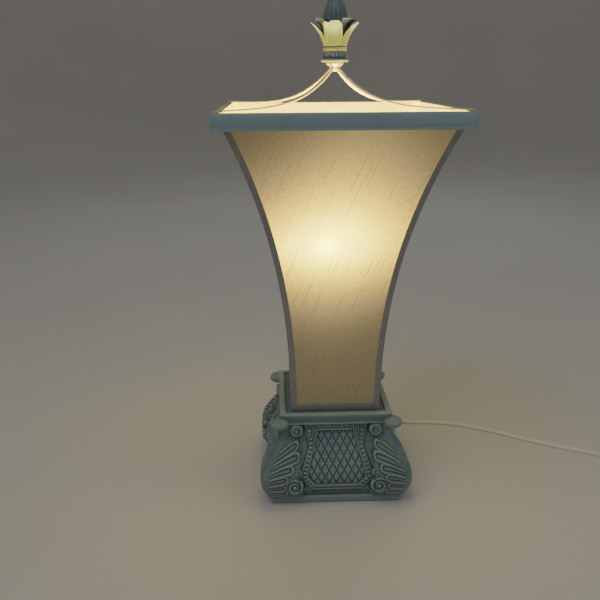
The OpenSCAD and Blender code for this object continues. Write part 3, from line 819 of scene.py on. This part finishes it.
def leaf_relief(out, z, reach):
    """Acanthus lobes on the scroll's flank: each a rolled rim round a veined hollow, out to the spine."""
    relief = np.full(z.shape, -0.4)
    for tip_z, tip_out, fall, half_w in LEAF_LOBES:
        run = out - tip_out
        middle = tip_z - fall * run - 0.004 * run * np.abs(run)
        lean = math.sqrt(1 + fall * fall)
        width = half_w * (1 - 0.18 * smooth_step(8, 28, run))
        share = np.hypot((z - middle) / lean, np.minimum(run - width, 0)) / width
        inside = smooth_step(1.08, 0.94, share)
        rim = 1.5 * np.exp(-((share - 0.78) / 0.19) ** 2)
        vein = 0.8 * np.exp(-(share / 0.2) ** 2) * smooth_step(0.3, 1.6, run / width)
        relief = np.maximum(relief, inside * (rim + vein + 0.15))
    fade = smooth_step(1.0, -3.0, out - reach)
    ends = smooth_step(88, 86, z) * smooth_step(PLINTH_H + 0.4, PLINTH_H + 2, z)
    return relief * fade * ends


def spiral(x, z, centre, radius, pitch, height):
    """A volute: a rolled band that winds in to a round eye."""
    dx, dz = x - centre[0], z - centre[1]
    away = np.hypot(dx, dz)
    turn = np.arctan2(dz, dx) / (2 * np.pi)
    band = 0.5 + 0.5 * np.cos(2 * np.pi * (away / pitch + turn - radius / pitch))
    eye = dome(dx, dz, (0, 0), (0.26 * radius, 0.26 * radius), height * 1.5)
    wound = height * band ** 0.7 * smooth_step(0.22 * radius, 0.34 * radius, away)
    return np.maximum(wound, eye), smooth_step(radius + 0.5, radius - 0.5, away)


def volute_depth(side, z, depth):
    """Adds a curl, the large volute at the foot and the small one under the ball.

    Each has a centre, radius, pitch and height, and a ground that it stands on."""
    volutes = [
        ((46.4, 44.5), 4.8, 2.6, 1.1, scroll_half(z) - 0.4),
        ((49.5, 28), 10.2, 4.2, 1.8, 87.2),
        ((46.5, 90), 7.4, 3.0, 1.2, 67.8),
    ]
    for centre, radius, pitch, height, ground in volutes:
        volute, inside = spiral(side, z, centre, radius, pitch, height)
        depth = depth + inside * (ground - depth + volute)
    return depth


def wall_depth(x, z, back):
    """How far a wall's points are from the lamp's middle, and their relief alone.

    The back wall has a flat boss round the lead's hole."""
    side = np.abs(x)
    on_flank = smooth_step(FLANK_X - 4.6, FLANK_X - 0.8, side)
    plain = face_half(z) + on_flank * (scroll_half(z) - face_half(z))
    centre = lattice_relief(x, z) + frame_relief(x, z) + foot_relief(x, z)
    reach = scroll_half(z) - SPINE_R - FLANK_X
    flank = leaf_relief(side - FLANK_X, z, reach)
    flank += ridge(side - FLANK_X - reach - 0.6, 0.6, 0.55) * smooth_step(86, 82, z)
    depth = plain + (1 - on_flank) * centre + on_flank * flank
    depth = volute_depth(side, z, depth)
    if back:
        boss = smooth_step(9.3, 8.7, np.hypot(x, z - BOSS_Z))
        depth = depth + boss * (BOSS_Y - depth)
    return depth, depth - plain


def wall_columns():
    """Where the columns stand across a wall, from one spine to the next."""
    return np.concatenate([
        np.linspace(-1, -0.55, SIDE_COLUMNS, endpoint=False),
        np.linspace(-0.55, 0.55, LATTICE_COLUMNS, endpoint=False),
        np.linspace(0.55, 1, SIDE_COLUMNS + 1),
    ])


def wall_points(back):
    """A grid of points over one wall, seen from the front, and its relief."""
    zs = np.linspace(PLINTH_H - 0.3, FASCIA_Z + 0.3, BODY_ROWS)[:, None]
    flat = wall_columns()[None, :]
    half = scroll_half(zs)
    x = flat * (half - SPINE_R)
    z = zs + 0 * x
    depth, relief = wall_depth(x, z, back)
    turns = np.radians(np.linspace(0, 45, SPINE_COLUMNS + 1))[None, 1:]
    end_relief = relief[:, -1:] * (1 - smooth_step(0, 0.35, turns))
    edge_lines = ridge(turns - math.radians(10), 0.09, 0.3)
    arc_relief = end_relief + edge_lines * smooth_step(96, 90, zs) * smooth_step(8, 11, zs)
    radius = SPINE_R + arc_relief
    arc_x = half - SPINE_R + radius * np.sin(turns)
    arc_y = half - SPINE_R + radius * np.cos(turns)
    arc_z = zs + 0 * arc_x
    xs = np.concatenate([-arc_x[:, -1:], -arc_x[:, :0:-1], x, arc_x[:, :-1]], axis=1)
    ys = np.concatenate([arc_y[:, -1:], arc_y[:, :0:-1], depth, arc_y[:, :-1]], axis=1)
    heights = np.concatenate([arc_z, z, arc_z[:, :-1]], axis=1)
    reliefs = np.concatenate([arc_relief[:, ::-1], relief, arc_relief[:, :-1]], axis=1)
    return xs, -ys, heights, reliefs


def blurred(values, passes):
    """Values smoothed over their neighbours. The last axis is closed."""
    for _ in range(passes):
        values = (values + np.roll(values, 1, 1) + np.roll(values, -1, 1)) / 3
        padded = np.vstack([values[:1], values, values[-1:]])
        values = (padded[:-2] + padded[1:-1] + padded[2:]) / 3
    return values


def mesh_values(items, key, width, kind=float):
    """One property of all of a mesh's points or edges."""
    values = np.empty(len(items) * width, dtype=kind)
    items.foreach_get(key, values)
    return values.reshape(-1, width)


def shade_by_form(obj, painted_shade):
    """Stores how hollow and how raised each point of a mesh is, for its dark antiquing and dry-brushing.

    The raised edges also stand for a painted highlight. The numbers passed in add painted shade to the
    points."""
    mesh = obj.data
    count = len(mesh.vertices)
    places = mesh_values(mesh.vertices, "co", 3)
    normals = mesh_values(mesh.vertices, "normal", 3)
    edges = mesh_values(mesh.edges, "vertices", 2, np.int64)
    lengths = np.linalg.norm(places[edges[:, 0]] - places[edges[:, 1]], axis=1)
    bend = np.zeros(count)
    total = np.zeros(count)
    for here, there in ((0, 1), (1, 0)):
        step = places[edges[:, there]] - places[edges[:, here]]
        rise = np.einsum("ij,ij->i", step, normals[edges[:, here]]) / np.maximum(lengths, 1e-6)
        np.add.at(bend, edges[:, here], rise)
        np.add.at(total, edges[:, here], 1)
    bend = bend / np.maximum(total, 1)
    for _ in range(3):
        spread = np.zeros(count)
        np.add.at(spread, edges[:, 0], bend[edges[:, 1]])
        np.add.at(spread, edges[:, 1], bend[edges[:, 0]])
        bend = 0.4 * bend + 0.6 * spread / np.maximum(total, 1)
    shade_added = np.asarray(painted_shade)
    # Hollowness plus the painted shade; raised edges, less the painted shade, are lightened as dry-brushing
    # and painted highlight.
    store(obj, "wash_and_shade", np.clip(bend * 6, 0, 1) + shade_added)
    store(obj, "edge", np.clip(-bend * 6 - shade_added, 0, 1))


def make_body():
    """The sculpted body of the casting: four walls in one closed shell with a hollow."""
    grids = []
    for quarter in range(4):
        x, y, z, relief = wall_points(back=quarter == 2)
        grids.append((*spun(x, y, quarter), z, relief))
    x, y, z, relief = (np.concatenate([g[i] for g in grids], axis=1) for i in range(4))
    rows, columns = x.shape
    points = np.stack([x, y, z], axis=2).reshape(-1, 3)
    faces = grid_faces(rows, columns, closed=True)
    start = len(points)
    inner = [
        (-HOLLOW_HALF, -HOLLOW_HALF, PLINTH_H - 0.3), (-HOLLOW_HALF, -HOLLOW_HALF, HOLLOW_TOP_Z),
        (-MOUTH_HALF, -MOUTH_HALF, HOLLOW_TOP_Z), (-MOUTH_HALF, -MOUTH_HALF, FASCIA_Z + 0.3),
    ]
    walls = []
    for quarter in range(4):
        walls.extend(turned(inner, quarter))
    per_side = columns // 4
    count = len(inner)
    for quarter in range(4):
        here = start + quarter * count
        there = start + (quarter + 1) % 4 * count
        for level in range(count - 1):
            faces.append((here + level, here + level + 1, there + level + 1, there + level))
        first = quarter * per_side
        lower = [(first + i) % columns for i in range(per_side + 1)]
        upper = [(rows - 1) * columns + i for i in lower]
        faces.append(tuple(lower[::-1]) + (here, there))
        faces.append(tuple(upper) + (there + count - 1, here + count - 1))
    body = mesh_object("base_casting_body", np.vstack([points, walls]), faces)
    hollow = np.zeros(len(walls))
    wide = blurred(relief, 5)
    wider = blurred(relief, 24)
    # Darker in the hollows, for the antiquing.
    wash_and_shade = np.clip((wide - relief) / 0.55, 0, 1) + 0.35 * np.clip((wider - relief) / 1.2, 0, 1)
    edge = np.clip((relief - wide) / 0.6, 0, 1)
    # Painted shade: darker towards the foot and under the fascia, added when stored.
    shadowed = smooth_step(20, 12, z) * 0.15 + smooth_step(93, 97, z) * 0.2
    store(body, "wash_and_shade", np.concatenate([np.clip(wash_and_shade + shadowed, 0, 1).ravel(), hollow]))
    store(body, "edge", np.concatenate([edge.ravel(), hollow]))
    finish_piece(body, "base", "cast_resin", ["base_casting"], sharp=70)


def corner_ball(x, y):
    """The rolled top of a corner scroll: a flattened ball with a shallow seam."""
    rings = []
    for k in range(1, 24):
        a = math.radians(-90 + 180 * k / 24)
        seam = 0.35 * math.exp(-(math.degrees(a) / 7) ** 2)
        radius = BALL_R * math.cos(a) - seam
        rings.append(circle_ring(radius, BALL_Z + BALL_HALF_H * math.sin(a), 40, (x, y)))
    return rings


def make_ledges():
    """The plinth, the moulded ledge under the shade and the four corner balls."""
    builder = Builder()
    plinth = [
        (70, 1), (76.6, 1), (77.3, 1.5), (77.5, 2.4), (77.5, 3.6), (77.5, 7), (77.5, 8.2), (77.2, 9.1),
        (76.4, PLINTH_H), (HOLLOW_HALF, PLINTH_H), (HOLLOW_HALF, 3.5), (70, 3.5),
    ]
    rings = [square_ring(half, z, 1.2 if half > 71 else 0.6, 5) for half, z in plinth]
    builder.tube(rings + [rings[0]], caps=False)
    ledge = [
        (MOUTH_HALF, 96), (MOUTH_HALF, FASCIA_Z), (64.2, FASCIA_Z), (65.1, 97.4), (65.5, 98.0),
        (65.3, 98.7), (64.6, 99.2), (64.4, 100.2), (64.4, 101.4), (64.5, 103), (64.65, 104.8), (64.8, 106),
        (65.2, 107.6), (65.5, 108.6), (65.5, 109.6), (65.2, 110.2), (64.6, LEDGE_Z), (59.3, LEDGE_Z),
        (58.7, 110.1), (58.5, 109.6), (58.4, 107.4),
    ]
    rings = [square_ring(half, z, 1.0, 6) for half, z in ledge]
    rings.append(square_ring(5, 107.4, 4.99, 6))
    rings.append(square_ring(5, 96, 4.99, 6))
    builder.tube(rings + [rings[0]], caps=False)
    # Painted shade on the recessed band under the ledge's lip.
    painted_shade = [0.3 if 99.5 < point[2] < 105.5 else 0.0 for point in builder.points]
    for x in (-BALL_AT, BALL_AT):
        for y in (-BALL_AT, BALL_AT):
            builder.tube(corner_ball(x, y))
    ledges = builder.object("base_casting_ledges")
    painted_shade += [0.0] * (len(builder.points) - len(painted_shade))
    shade_by_form(ledges, painted_shade)
    finish_piece(ledges, "base", "cast_resin", ["base_casting"], sharp=50)


make_body()
make_ledges()


# ---- Finial ----

FINIAL_Z = 498.6
FINIAL_TURN = math.radians(-13)
CORE_OUTLINE = [
    (5, 0), (13.6, 0), (14.5, 0.35), (14.8, 1.2), (14.75, 1.9), (14.2, 2.8), (13.0, 3.3), (12.2, 3.9),
    (11.9, 4.6), (12.0, 5.6), (12.1, 8), (12.0, 10.2), (11.8, 10.9), (12.2, 11.4), (12.75, 12.0),
    (12.8, 12.6), (12.3, 13.1), (12.6, 13.6), (12.8, 14.2), (12.5, 14.9), (11.6, 15.5), (11.2, 16.2),
    (11.3, 17.2), (11.8, 19), (12.2, 22), (12.6, 27), (13.0, 33), (13.4, 38), (13.5, 41), (13.1, 44.5),
    (12.6, 47), (12.0, 50), (11.2, 53), (10.3, 56), (9.3, 58.6), (7.9, 61.4), (6.5, 64.6), (5.1, 67.8),
    (3.9, 70.8), (2.7, 74), (1.7, 76.6), (0.9, 78.6), (0.25, 79.4),
]
LOWER_PETAL = [(12.0, 15.9), (13.0, 20), (14.4, 25), (16.4, 29.6), (19.0, 33.4), (21.8, 36.4), (23.8, 38.2),
               (25.0, 39.3), (25.3, 40.0)]
UPPER_PETAL = [(11.2, 18), (11.9, 24), (12.8, 30), (14.6, 35.2), (17.4, 39.0), (20.6, 41.6), (23.0, 42.8),
               (24.4, 43.2)]
BORE_R = 5
BORE_H = 22.5
FINIAL_SIDES = 168
PROFILE_POINTS = 60


def smooth_profile(profile):
    """Evenly parted points on a smooth curve through a profile."""
    curve = smooth_route([(r, 0, z) for r, z in profile], 6)
    places = np.linspace(0, len(curve) - 1, PROFILE_POINTS)
    radii = np.interp(places, range(len(curve)), [p.x for p in curve])
    heights = np.interp(places, range(len(curve)), [p.z for p in curve])
    return radii, heights


def finial_core():
    """The turned middle of the finial: fluted neck, ringed collar and ribbed bud."""
    angles = np.linspace(0, 2 * math.pi, FINIAL_SIDES, endpoint=False)
    rings = []
    rows = CORE_OUTLINE[:1]
    for (r0, z0), (r1, z1) in zip(CORE_OUTLINE, CORE_OUTLINE[1:]):
        rows.extend([(r0 + (r1 - r0) * k / 3, z0 + (z1 - z0) * k / 3) for k in (1, 2, 3)])
    for radius, height in rows:
        on_neck = float(smooth_step(4.4, 5.2, height) * smooth_step(10.9, 10.2, height))
        on_bud = float(smooth_step(40, 45, height) * smooth_step(80, 74, height))
        flutes = 0.6 * on_neck * (np.abs(np.cos(9 * angles)) ** 0.7 - 0.75)
        ribs = 0.07 * radius * on_bud * (np.abs(np.cos(7 * angles)) ** 0.6 - 0.8)
        wide = radius + flutes + ribs
        rings.append([(r * math.cos(a), r * math.sin(a), FINIAL_Z + height) for r, a in zip(wide, angles)])
    return rings


def petal(turn, profile, half_w, thickness, notch, centre_rise):
    """A leaf that stands against the core and curls out, with a creased middle and a lobed tip."""
    rows, columns = 26, 33
    radii, heights = smooth_profile(profile)
    outer, inner = [], []
    for i in range(rows):
        for j in range(columns):
            a = -1 + 2 * j / (columns - 1)
            dip = notch * math.exp(-((a + 0.38) / 0.28) ** 2) * (i / (rows - 1)) ** 6
            share = i / (rows - 1) * (1 - 0.38 * a ** 4)
            place = share * (PROFILE_POINTS - 1)
            radius = np.interp(place, range(PROFILE_POINTS), radii)
            height = np.interp(place, range(PROFILE_POINTS), heights) - dip
            angle = turn + math.asin(min(half_w / radius, 0.69)) * a
            bulge = centre_rise * (1 - a * a) * math.sin(math.pi * min(1, share * 1.1))
            crease = 0.8 * math.exp(-((a + 0.35) / 0.12) ** 2) * share
            aside = abs(a)
            veins = 0.3 * math.cos(7 * math.pi * aside) * (1 - 0.8 * share) * smooth_step(0.25, 0.6, aside)
            rolled = max(smooth_step(0.72, 0.96, aside), smooth_step(0.86, 1.0, i / (rows - 1)))
            front = radius + bulge - crease + veins + 0.7 * rolled * share
            thick = thickness * (1 - 0.55 * a ** 4) * (1 - 0.35 * share)
            outer.append((front * math.cos(angle), front * math.sin(angle), FINIAL_Z + height))
            back = front - thick
            rise = 0.35 * thick * share
            inner.append((back * math.cos(angle), back * math.sin(angle), FINIAL_Z + height + rise))
    return outer + inner, shell_faces(rows, columns)


def make_finial():
    """The acanthus finial, turned a little on its stud."""
    builder = Builder()
    bore = [circle_ring(BORE_R, FINIAL_Z + z, FINIAL_SIDES) for z in (BORE_H, 0)]
    builder.tube(bore + finial_core())
    # Painted shade: the neck gets 2, which paints it dark slate blue.
    painted_shade = [2.0 if 3.4 < point[2] - FINIAL_Z < 11 else 0.0 for point in builder.points]
    front = FINIAL_TURN - math.pi / 2
    for quarter in range(4):
        turn = front + quarter * math.pi / 2
        builder.add(*petal(turn, LOWER_PETAL, 9.8, 2.0, 1.5, 1.3))
        painted_shade += [0.0] * (len(builder.points) - len(painted_shade))
        builder.add(*petal(turn + math.pi / 4, UPPER_PETAL, 9.6, 1.8, 0.6, 0.6))
        # Painted shade: the upper leaves get 1.6, which paints them dark blue.
        painted_shade += [1.6] * (len(builder.points) - len(painted_shade))
    finial = builder.object("finial_acanthus")
    shade_by_form(finial, painted_shade)
    finish_piece(finial, "finial", "cast_resin", ["finial_casting"], sharp=60)


make_finial()


# ---- Shade ----

RIM_HALF = 127
RIM_Z = 452.5
RIM_H = 16.6
SHADE_HALF = 51.6
SHADE_TOP_HALF = 123
SHADE_Z = 107.8
FLARE_Z = 90
FLARE_POWER = 2.45
HEM_W = 9.5
RIBBON_W = 6.5
RIBBON_T = 0.45
SIDES = ("front", "right", "back", "left")
CORNERS = ("front_left", "front_right", "back_right", "back_left")
GLOW_Z = 312
THREAD_LEAN = 0.42


def shade_half(z):
    """Half-width of the shade at a height: nearly upright at the foot, then a long flare."""
    share = (np.asarray(z, dtype=float) - FLARE_Z) / (RIM_Z - FLARE_Z)
    return SHADE_HALF + (SHADE_TOP_HALF - SHADE_HALF) * share ** FLARE_POWER


def arc_along(zs):
    """How far along the shade's outline each of some heights is."""
    return np.concatenate([[0], np.cumsum(np.hypot(np.diff(zs), np.diff(shade_half(zs))))])


def glow_at(across, z):
    """How brightly the bulb shows through the cloth, 0 to 1: a hot spot in a wider glow."""
    up = z - GLOW_Z
    shifted = across + 12 - 0.22 * np.maximum(up, 0)
    above = 1 / (1 + (up / 64) ** 2)
    below = np.exp(-(up / 188) ** 2) / (1 + (up / 50) ** 2)
    spot = 0.16 * np.exp(-(shifted ** 2 + up ** 2) / 13 ** 2)
    return 0.84 * np.where(up > 0, above, below) / (1 + (shifted / 88) ** 2) + spot


def cloth_panel(name, side, inset, thickness, below, above, slack):
    """One side of the shade as a thin sheet, stretched between its corners."""
    columns, rows = 41, 72
    shares = np.linspace(-1, 1, columns)
    zs = np.linspace(SHADE_Z + below, RIM_Z - above, rows)
    arc = arc_along(zs)
    layers, cloth, glow = [], [], []
    for layer_inset in (inset, inset + thickness):
        for i, z in enumerate(zs):
            half = shade_half(z) - layer_inset
            give = slack * math.sin(math.pi * i / (rows - 1)) ** 0.8
            run = arc[i] * MM
            lean = THREAD_LEAN * run * run / (run + 0.05)
            for share in shares:
                x = half * share
                layers.append((x, -(half - give * (1 - share ** 2)), z))
                cloth.append((x * MM - lean, run, side * 0.37))
                glow.append(glow_at(x, z))
    panel = mesh_object(name, turned(layers, side), shell_faces(rows, columns))
    store(panel, "cloth", cloth)
    store(panel, "glow", glow)
    widths = 2 * (shade_half(zs) - inset)
    area = float(np.sum((widths[1:] + widths[:-1]) / 2 * np.diff(arc))) * MM * MM
    flat = (float(widths.max()) * MM, float(arc[-1]) * MM)
    return panel, flat, area


# Each layer of a side: its name, slot and CAD node, then its inset from the shade's outline, its
# thickness, how far it ends above the hem and below the rim's top, and how slack it is.
LAYERS = [
    ("cloth", "shade_cloth", "shade_panel", 0.03, 0.9, 0.6, 0.2, 0.7),
    ("lining", "lining_cloth", "shade_lining", 4.42, 0.55, 4.2, 0.3, 0.9),
]


def make_panels():
    """The cloth and the lining of each side."""
    for side, where in enumerate(SIDES):
        for name, slot, node, *sizes in LAYERS:
            panel, flat, area = cloth_panel(f"{name}_{where}", side, *sizes)
            finish_piece(panel, "base", slot, [f"{node}_{where}"], sharp=60)


def make_corner_trims():
    """A ribbon folded over each corner seam."""
    leg = RIBBON_W
    zs = np.linspace(SHADE_Z + HEM_W - 0.3, RIM_Z - RIM_H + 0.2, 70)
    arc = arc_along(zs) * MM
    for corner, where in enumerate(CORNERS):
        rings, cloth = [], []
        for run, z in zip(arc, zs):
            half = shade_half(z)
            over = half + RIBBON_T
            fold = over - 0.25
            flap = [
                (-(half - leg), -half), (-(half - leg + 0.2), -over + 0.1), (-(half - leg + 0.7), -over),
                (-(half - leg * 0.5), -over), (-(half - 0.6), -over),
            ]
            mirrored = [(y, x) for x, y in reversed(flap)]
            ring = flap + [(-fold, -fold)] + mirrored + [(-half + 0.02, -half + 0.02)]
            rings.append(turned([(x, y, z) for x, y in ring], corner))
            cloth.extend([((k - 5) * 1.3 * MM, run, 0) for k in range(len(ring))])
        trim = mesh_object(f"ribbon_{where}", *tube_parts(rings))
        store(trim, "cloth", cloth)
        finish_piece(trim, "base", "ribbon", [f"corner_trim_{where}"], sharp=50)


def make_bottom_trim():
    """A ribbon round the shade's lower edge, turned up inside it."""
    half = shade_half(SHADE_Z)
    section = [
        (0.0, HEM_W), (RIBBON_T * 0.7, HEM_W - 0.05), (RIBBON_T, HEM_W - 0.5), (RIBBON_T, HEM_W * 0.5),
        (RIBBON_T, 0.5), (RIBBON_T - 0.3, 0.0), (-4.6, 0.0), (-4.95, 0.3), (-4.95, 3.9), (-4.5, 4.0),
        (-4.45, 0.6), (-4.2, 0.5), (-0.2, 0.5), (0.0, 0.7),
    ]
    steps = 60
    rings, cloth = [], []
    around = 0.0
    for quarter in range(4):
        for k in range(steps):
            share = -1 + 2 * k / steps
            ring = [(share * (half + x), -(half + x), SHADE_Z + y) for x, y in section]
            rings.append(turned(ring, quarter))
            cloth.extend([(y * MM, around * MM, 0) for x, y in section])
            around += 2 * half / steps
    trim = mesh_object("ribbon_lower_edge", *tube_parts(rings, caps=False, looped=True))
    store(trim, "cloth", cloth)
    finish_piece(trim, "base", "ribbon", ["bottom_trim"], sharp=50)


def make_rim_band():
    """The painted band round the top, with soft edges and a fine line above its lower edge."""
    low, high = RIM_Z - RIM_H, RIM_Z
    outside = [
        (125.2, low), (126.2, low + 0.3), (126.8, low + 1.0), (RIM_HALF, low + 2.0), (126.6, low + 2.5),
        (126.6, low + 3.0), (RIM_HALF, low + 3.4), (RIM_HALF, high - 3.0), (126.8, high - 1.8),
        (126.2, high - 0.8), (125.4, high - 0.2), (124.6, high),
    ]
    rings = [square_ring(half, z, 8 - (RIM_HALF - half), 10) for half, z in outside]
    rings.append(square_ring(shade_half(high) + 0.1, high, 0.5, 10))
    for z in np.linspace(high - 2, low, 8):
        rings.append(square_ring(shade_half(z) + 0.06, z, 0.5, 10))
    band = mesh_object("rim_band_painted", *tube_parts(rings + [rings[0]], caps=False))
    finish_piece(band, "base", "rim_paint", ["rim_band"], sharp=50)


make_panels()
make_corner_trims()
make_bottom_trim()
make_rim_band()


# ---- Crown ----

CROWN_H = 42
CROWN_POWER = 3.8
ARM_REACH = (SHADE_TOP_HALF - 1) * math.sqrt(2)
ARM_START = 4.0
ARM_STEPS = 56
ARM_SIDES = 16
ARM_W = 5
ARM_T = 2
HUB_TOP_Z = RIM_Z + CROWN_H + 3.8


def arm_z(u):
    """Height of an arm's underside at a distance from the lamp's middle."""
    return RIM_Z + 0.1 + CROWN_H * max(0.0, 1 - u / ARM_REACH) ** CROWN_POWER


def make_arms():
    """Four rounded straps that sweep up from the rim's corners to the hub."""
    for corner, where in enumerate(CORNERS):
        outwards, across = bearing(90 * corner - 135)
        rings = []
        for i in range(ARM_STEPS + 1):
            u = ARM_START + (ARM_REACH - ARM_START) * (i / ARM_STEPS) ** 1.35
            slope = (arm_z(u + 0.2) - arm_z(u - 0.2)) / 0.4
            ahead = (outwards + Vector((0, 0, slope))).normalized()
            up = ahead.cross(across)
            half_w = ARM_W / 2 + 0.9 * float(smooth_step(ARM_REACH - 12, ARM_REACH - 3, u))
            middle = outwards * u + Vector((0, 0, arm_z(u))) + up * (ARM_T / 2)
            section = []
            for k in range(ARM_SIDES):
                a = 2 * math.pi * k / ARM_SIDES
                x = half_w * math.copysign(abs(math.cos(a)) ** 0.35, math.cos(a))
                y = ARM_T / 2 * math.copysign(abs(math.sin(a)) ** 0.6, math.sin(a))
                section.append(tuple(middle + across * x + up * y))
            rings.append(section)
        arm = mesh_object(f"crown_strap_{where}", *tube_parts(rings))
        finish_piece(arm, "base", "crown_paint", [f"crown_arm_{where}"], sharp=50)


def make_hub():
    """The saucer that the arms meet in, turned with two fine rings."""
    outline = [
        (0.3, -9.5), (1.6, -9.3), (2.8, -8.9), (3.9, -8.1), (4.4, -7.2), (4.5, -6.2), (4.7, -5.4),
        (5.4, -4.6), (6.6, -3.6), (7.2, -3.2), (7.4, -2.9), (7.9, -2.7), (8.6, -2.1), (9.0, -1.5),
        (9.0, -0.5), (8.7, 0), (0.3, 0),
    ]
    rings = [circle_ring(r, HUB_TOP_Z + z, 64) for r, z in outline]
    hub = mesh_object("crown_hub_turned", *tube_parts(rings))
    finish_piece(hub, "base", "crown_paint", ["crown_hub"], sharp=50)


make_arms()
make_hub()


# ---- Bulb ----

GLOBE_Z = 300


def globe_arc(radius, angles):
    """An arc of the globe's profile, at angles above its middle."""
    turns = [math.radians(a) for a in angles]
    return [(radius * math.cos(a), GLOBE_Z + radius * math.sin(a)) for a in turns]


def make_bulb():
    """The frosted globe with its neck, and the light inside it."""
    outside = globe_arc(30, range(88, -43, -3))
    outside += [(19.6, 275.2), (17.5, 269), (15.8, 263.4), (14.5, 259), (13.7, 255), (13.3, 252)]
    inside = [(12.3, 252), (12.7, 256), (14.2, 263), (16.4, 269.4), (20.4, 277)]
    inside += globe_arc(29, range(-45, 88, 6))
    rings = [circle_ring(r, z, 64) for r, z in outside + inside]
    bulb = mesh_object("bulb_globe", *tube_parts(rings))
    finish_piece(bulb, "bulb", "frosted_glass", ["bulb_glass"])
    bulb.visible_shadow = False
    data = bpy.data.lights.new("filament", "POINT")
    data.shadow_soft_size = 0.012
    data.energy = 6.0
    data.color = (1.0, 0.80, 0.36)
    new_object("filament", data).location = (0, 0, 0.310)


make_bulb()


# ---- Finishes of the CAD pieces that stay ----

def dress_nodes():
    """Gives every CAD node the look of its material slot."""
    slots = {part["node"]: part["material_slot"] for part in frame["record"]["subparts"]}
    for name, node in frame["nodes"].items():
        for slot in node.material_slots:
            slot.material = LOOKS[slots[name]]


dress_nodes()


# ---- Studio ----

def make_floor():
    """A pale floor that turns up into a wall all round."""
    profile = [
        (0.02, 0), (1.2, 0), (2.4, 0), (2.9, 0.03), (3.3, 0.14), (3.6, 0.34), (3.8, 0.62), (3.9, 1.0),
        (3.9, 2.6),
    ]
    sides = 96
    points, faces = tube_parts([circle_ring(r, z, sides) for r, z in profile], caps=False)
    faces.append(tuple(reversed(range(sides))))
    floor = mesh_object("floor", points, faces, scale=1.0)
    floor.data.flip_normals()
    floor.data.materials.append(floor_look())


def area_light(name, place, target, size, power, colour):
    """A soft square light."""
    data = bpy.data.lights.new(name, "AREA")
    data.shape = "SQUARE"
    data.size = size
    data.energy = power
    data.color = colour
    light = new_object(name, data)
    light.location = place
    light.rotation_euler = (Vector(target) - Vector(place)).to_track_quat("-Z", "Y").to_euler()


def make_studio():
    """Soft light from both sides and from above, low enough that the lamp's own glow shows."""
    area_light("key", (-0.9, -1.1, 2.2), (0, 0, 0.25), 1.6, 9, (1.0, 0.98, 0.95))
    area_light("fill", (1.9, -1.0, 1.4), (0, 0, 0.2), 1.8, 4, (0.93, 0.97, 1.0))
    area_light("back", (0.4, 2.0, 1.8), (0, 0, 0.3), 1.6, 4, (1.0, 0.99, 0.97))
    world = bpy.data.worlds.new("studio")
    bpy.context.scene.world = world
    world.use_nodes = True
    background = world.node_tree.nodes["Background"]
    background.inputs["Color"].default_value = (0.86, 0.88, 0.9, 1)
    background.inputs["Strength"].default_value = 0.12


make_floor()
make_studio()
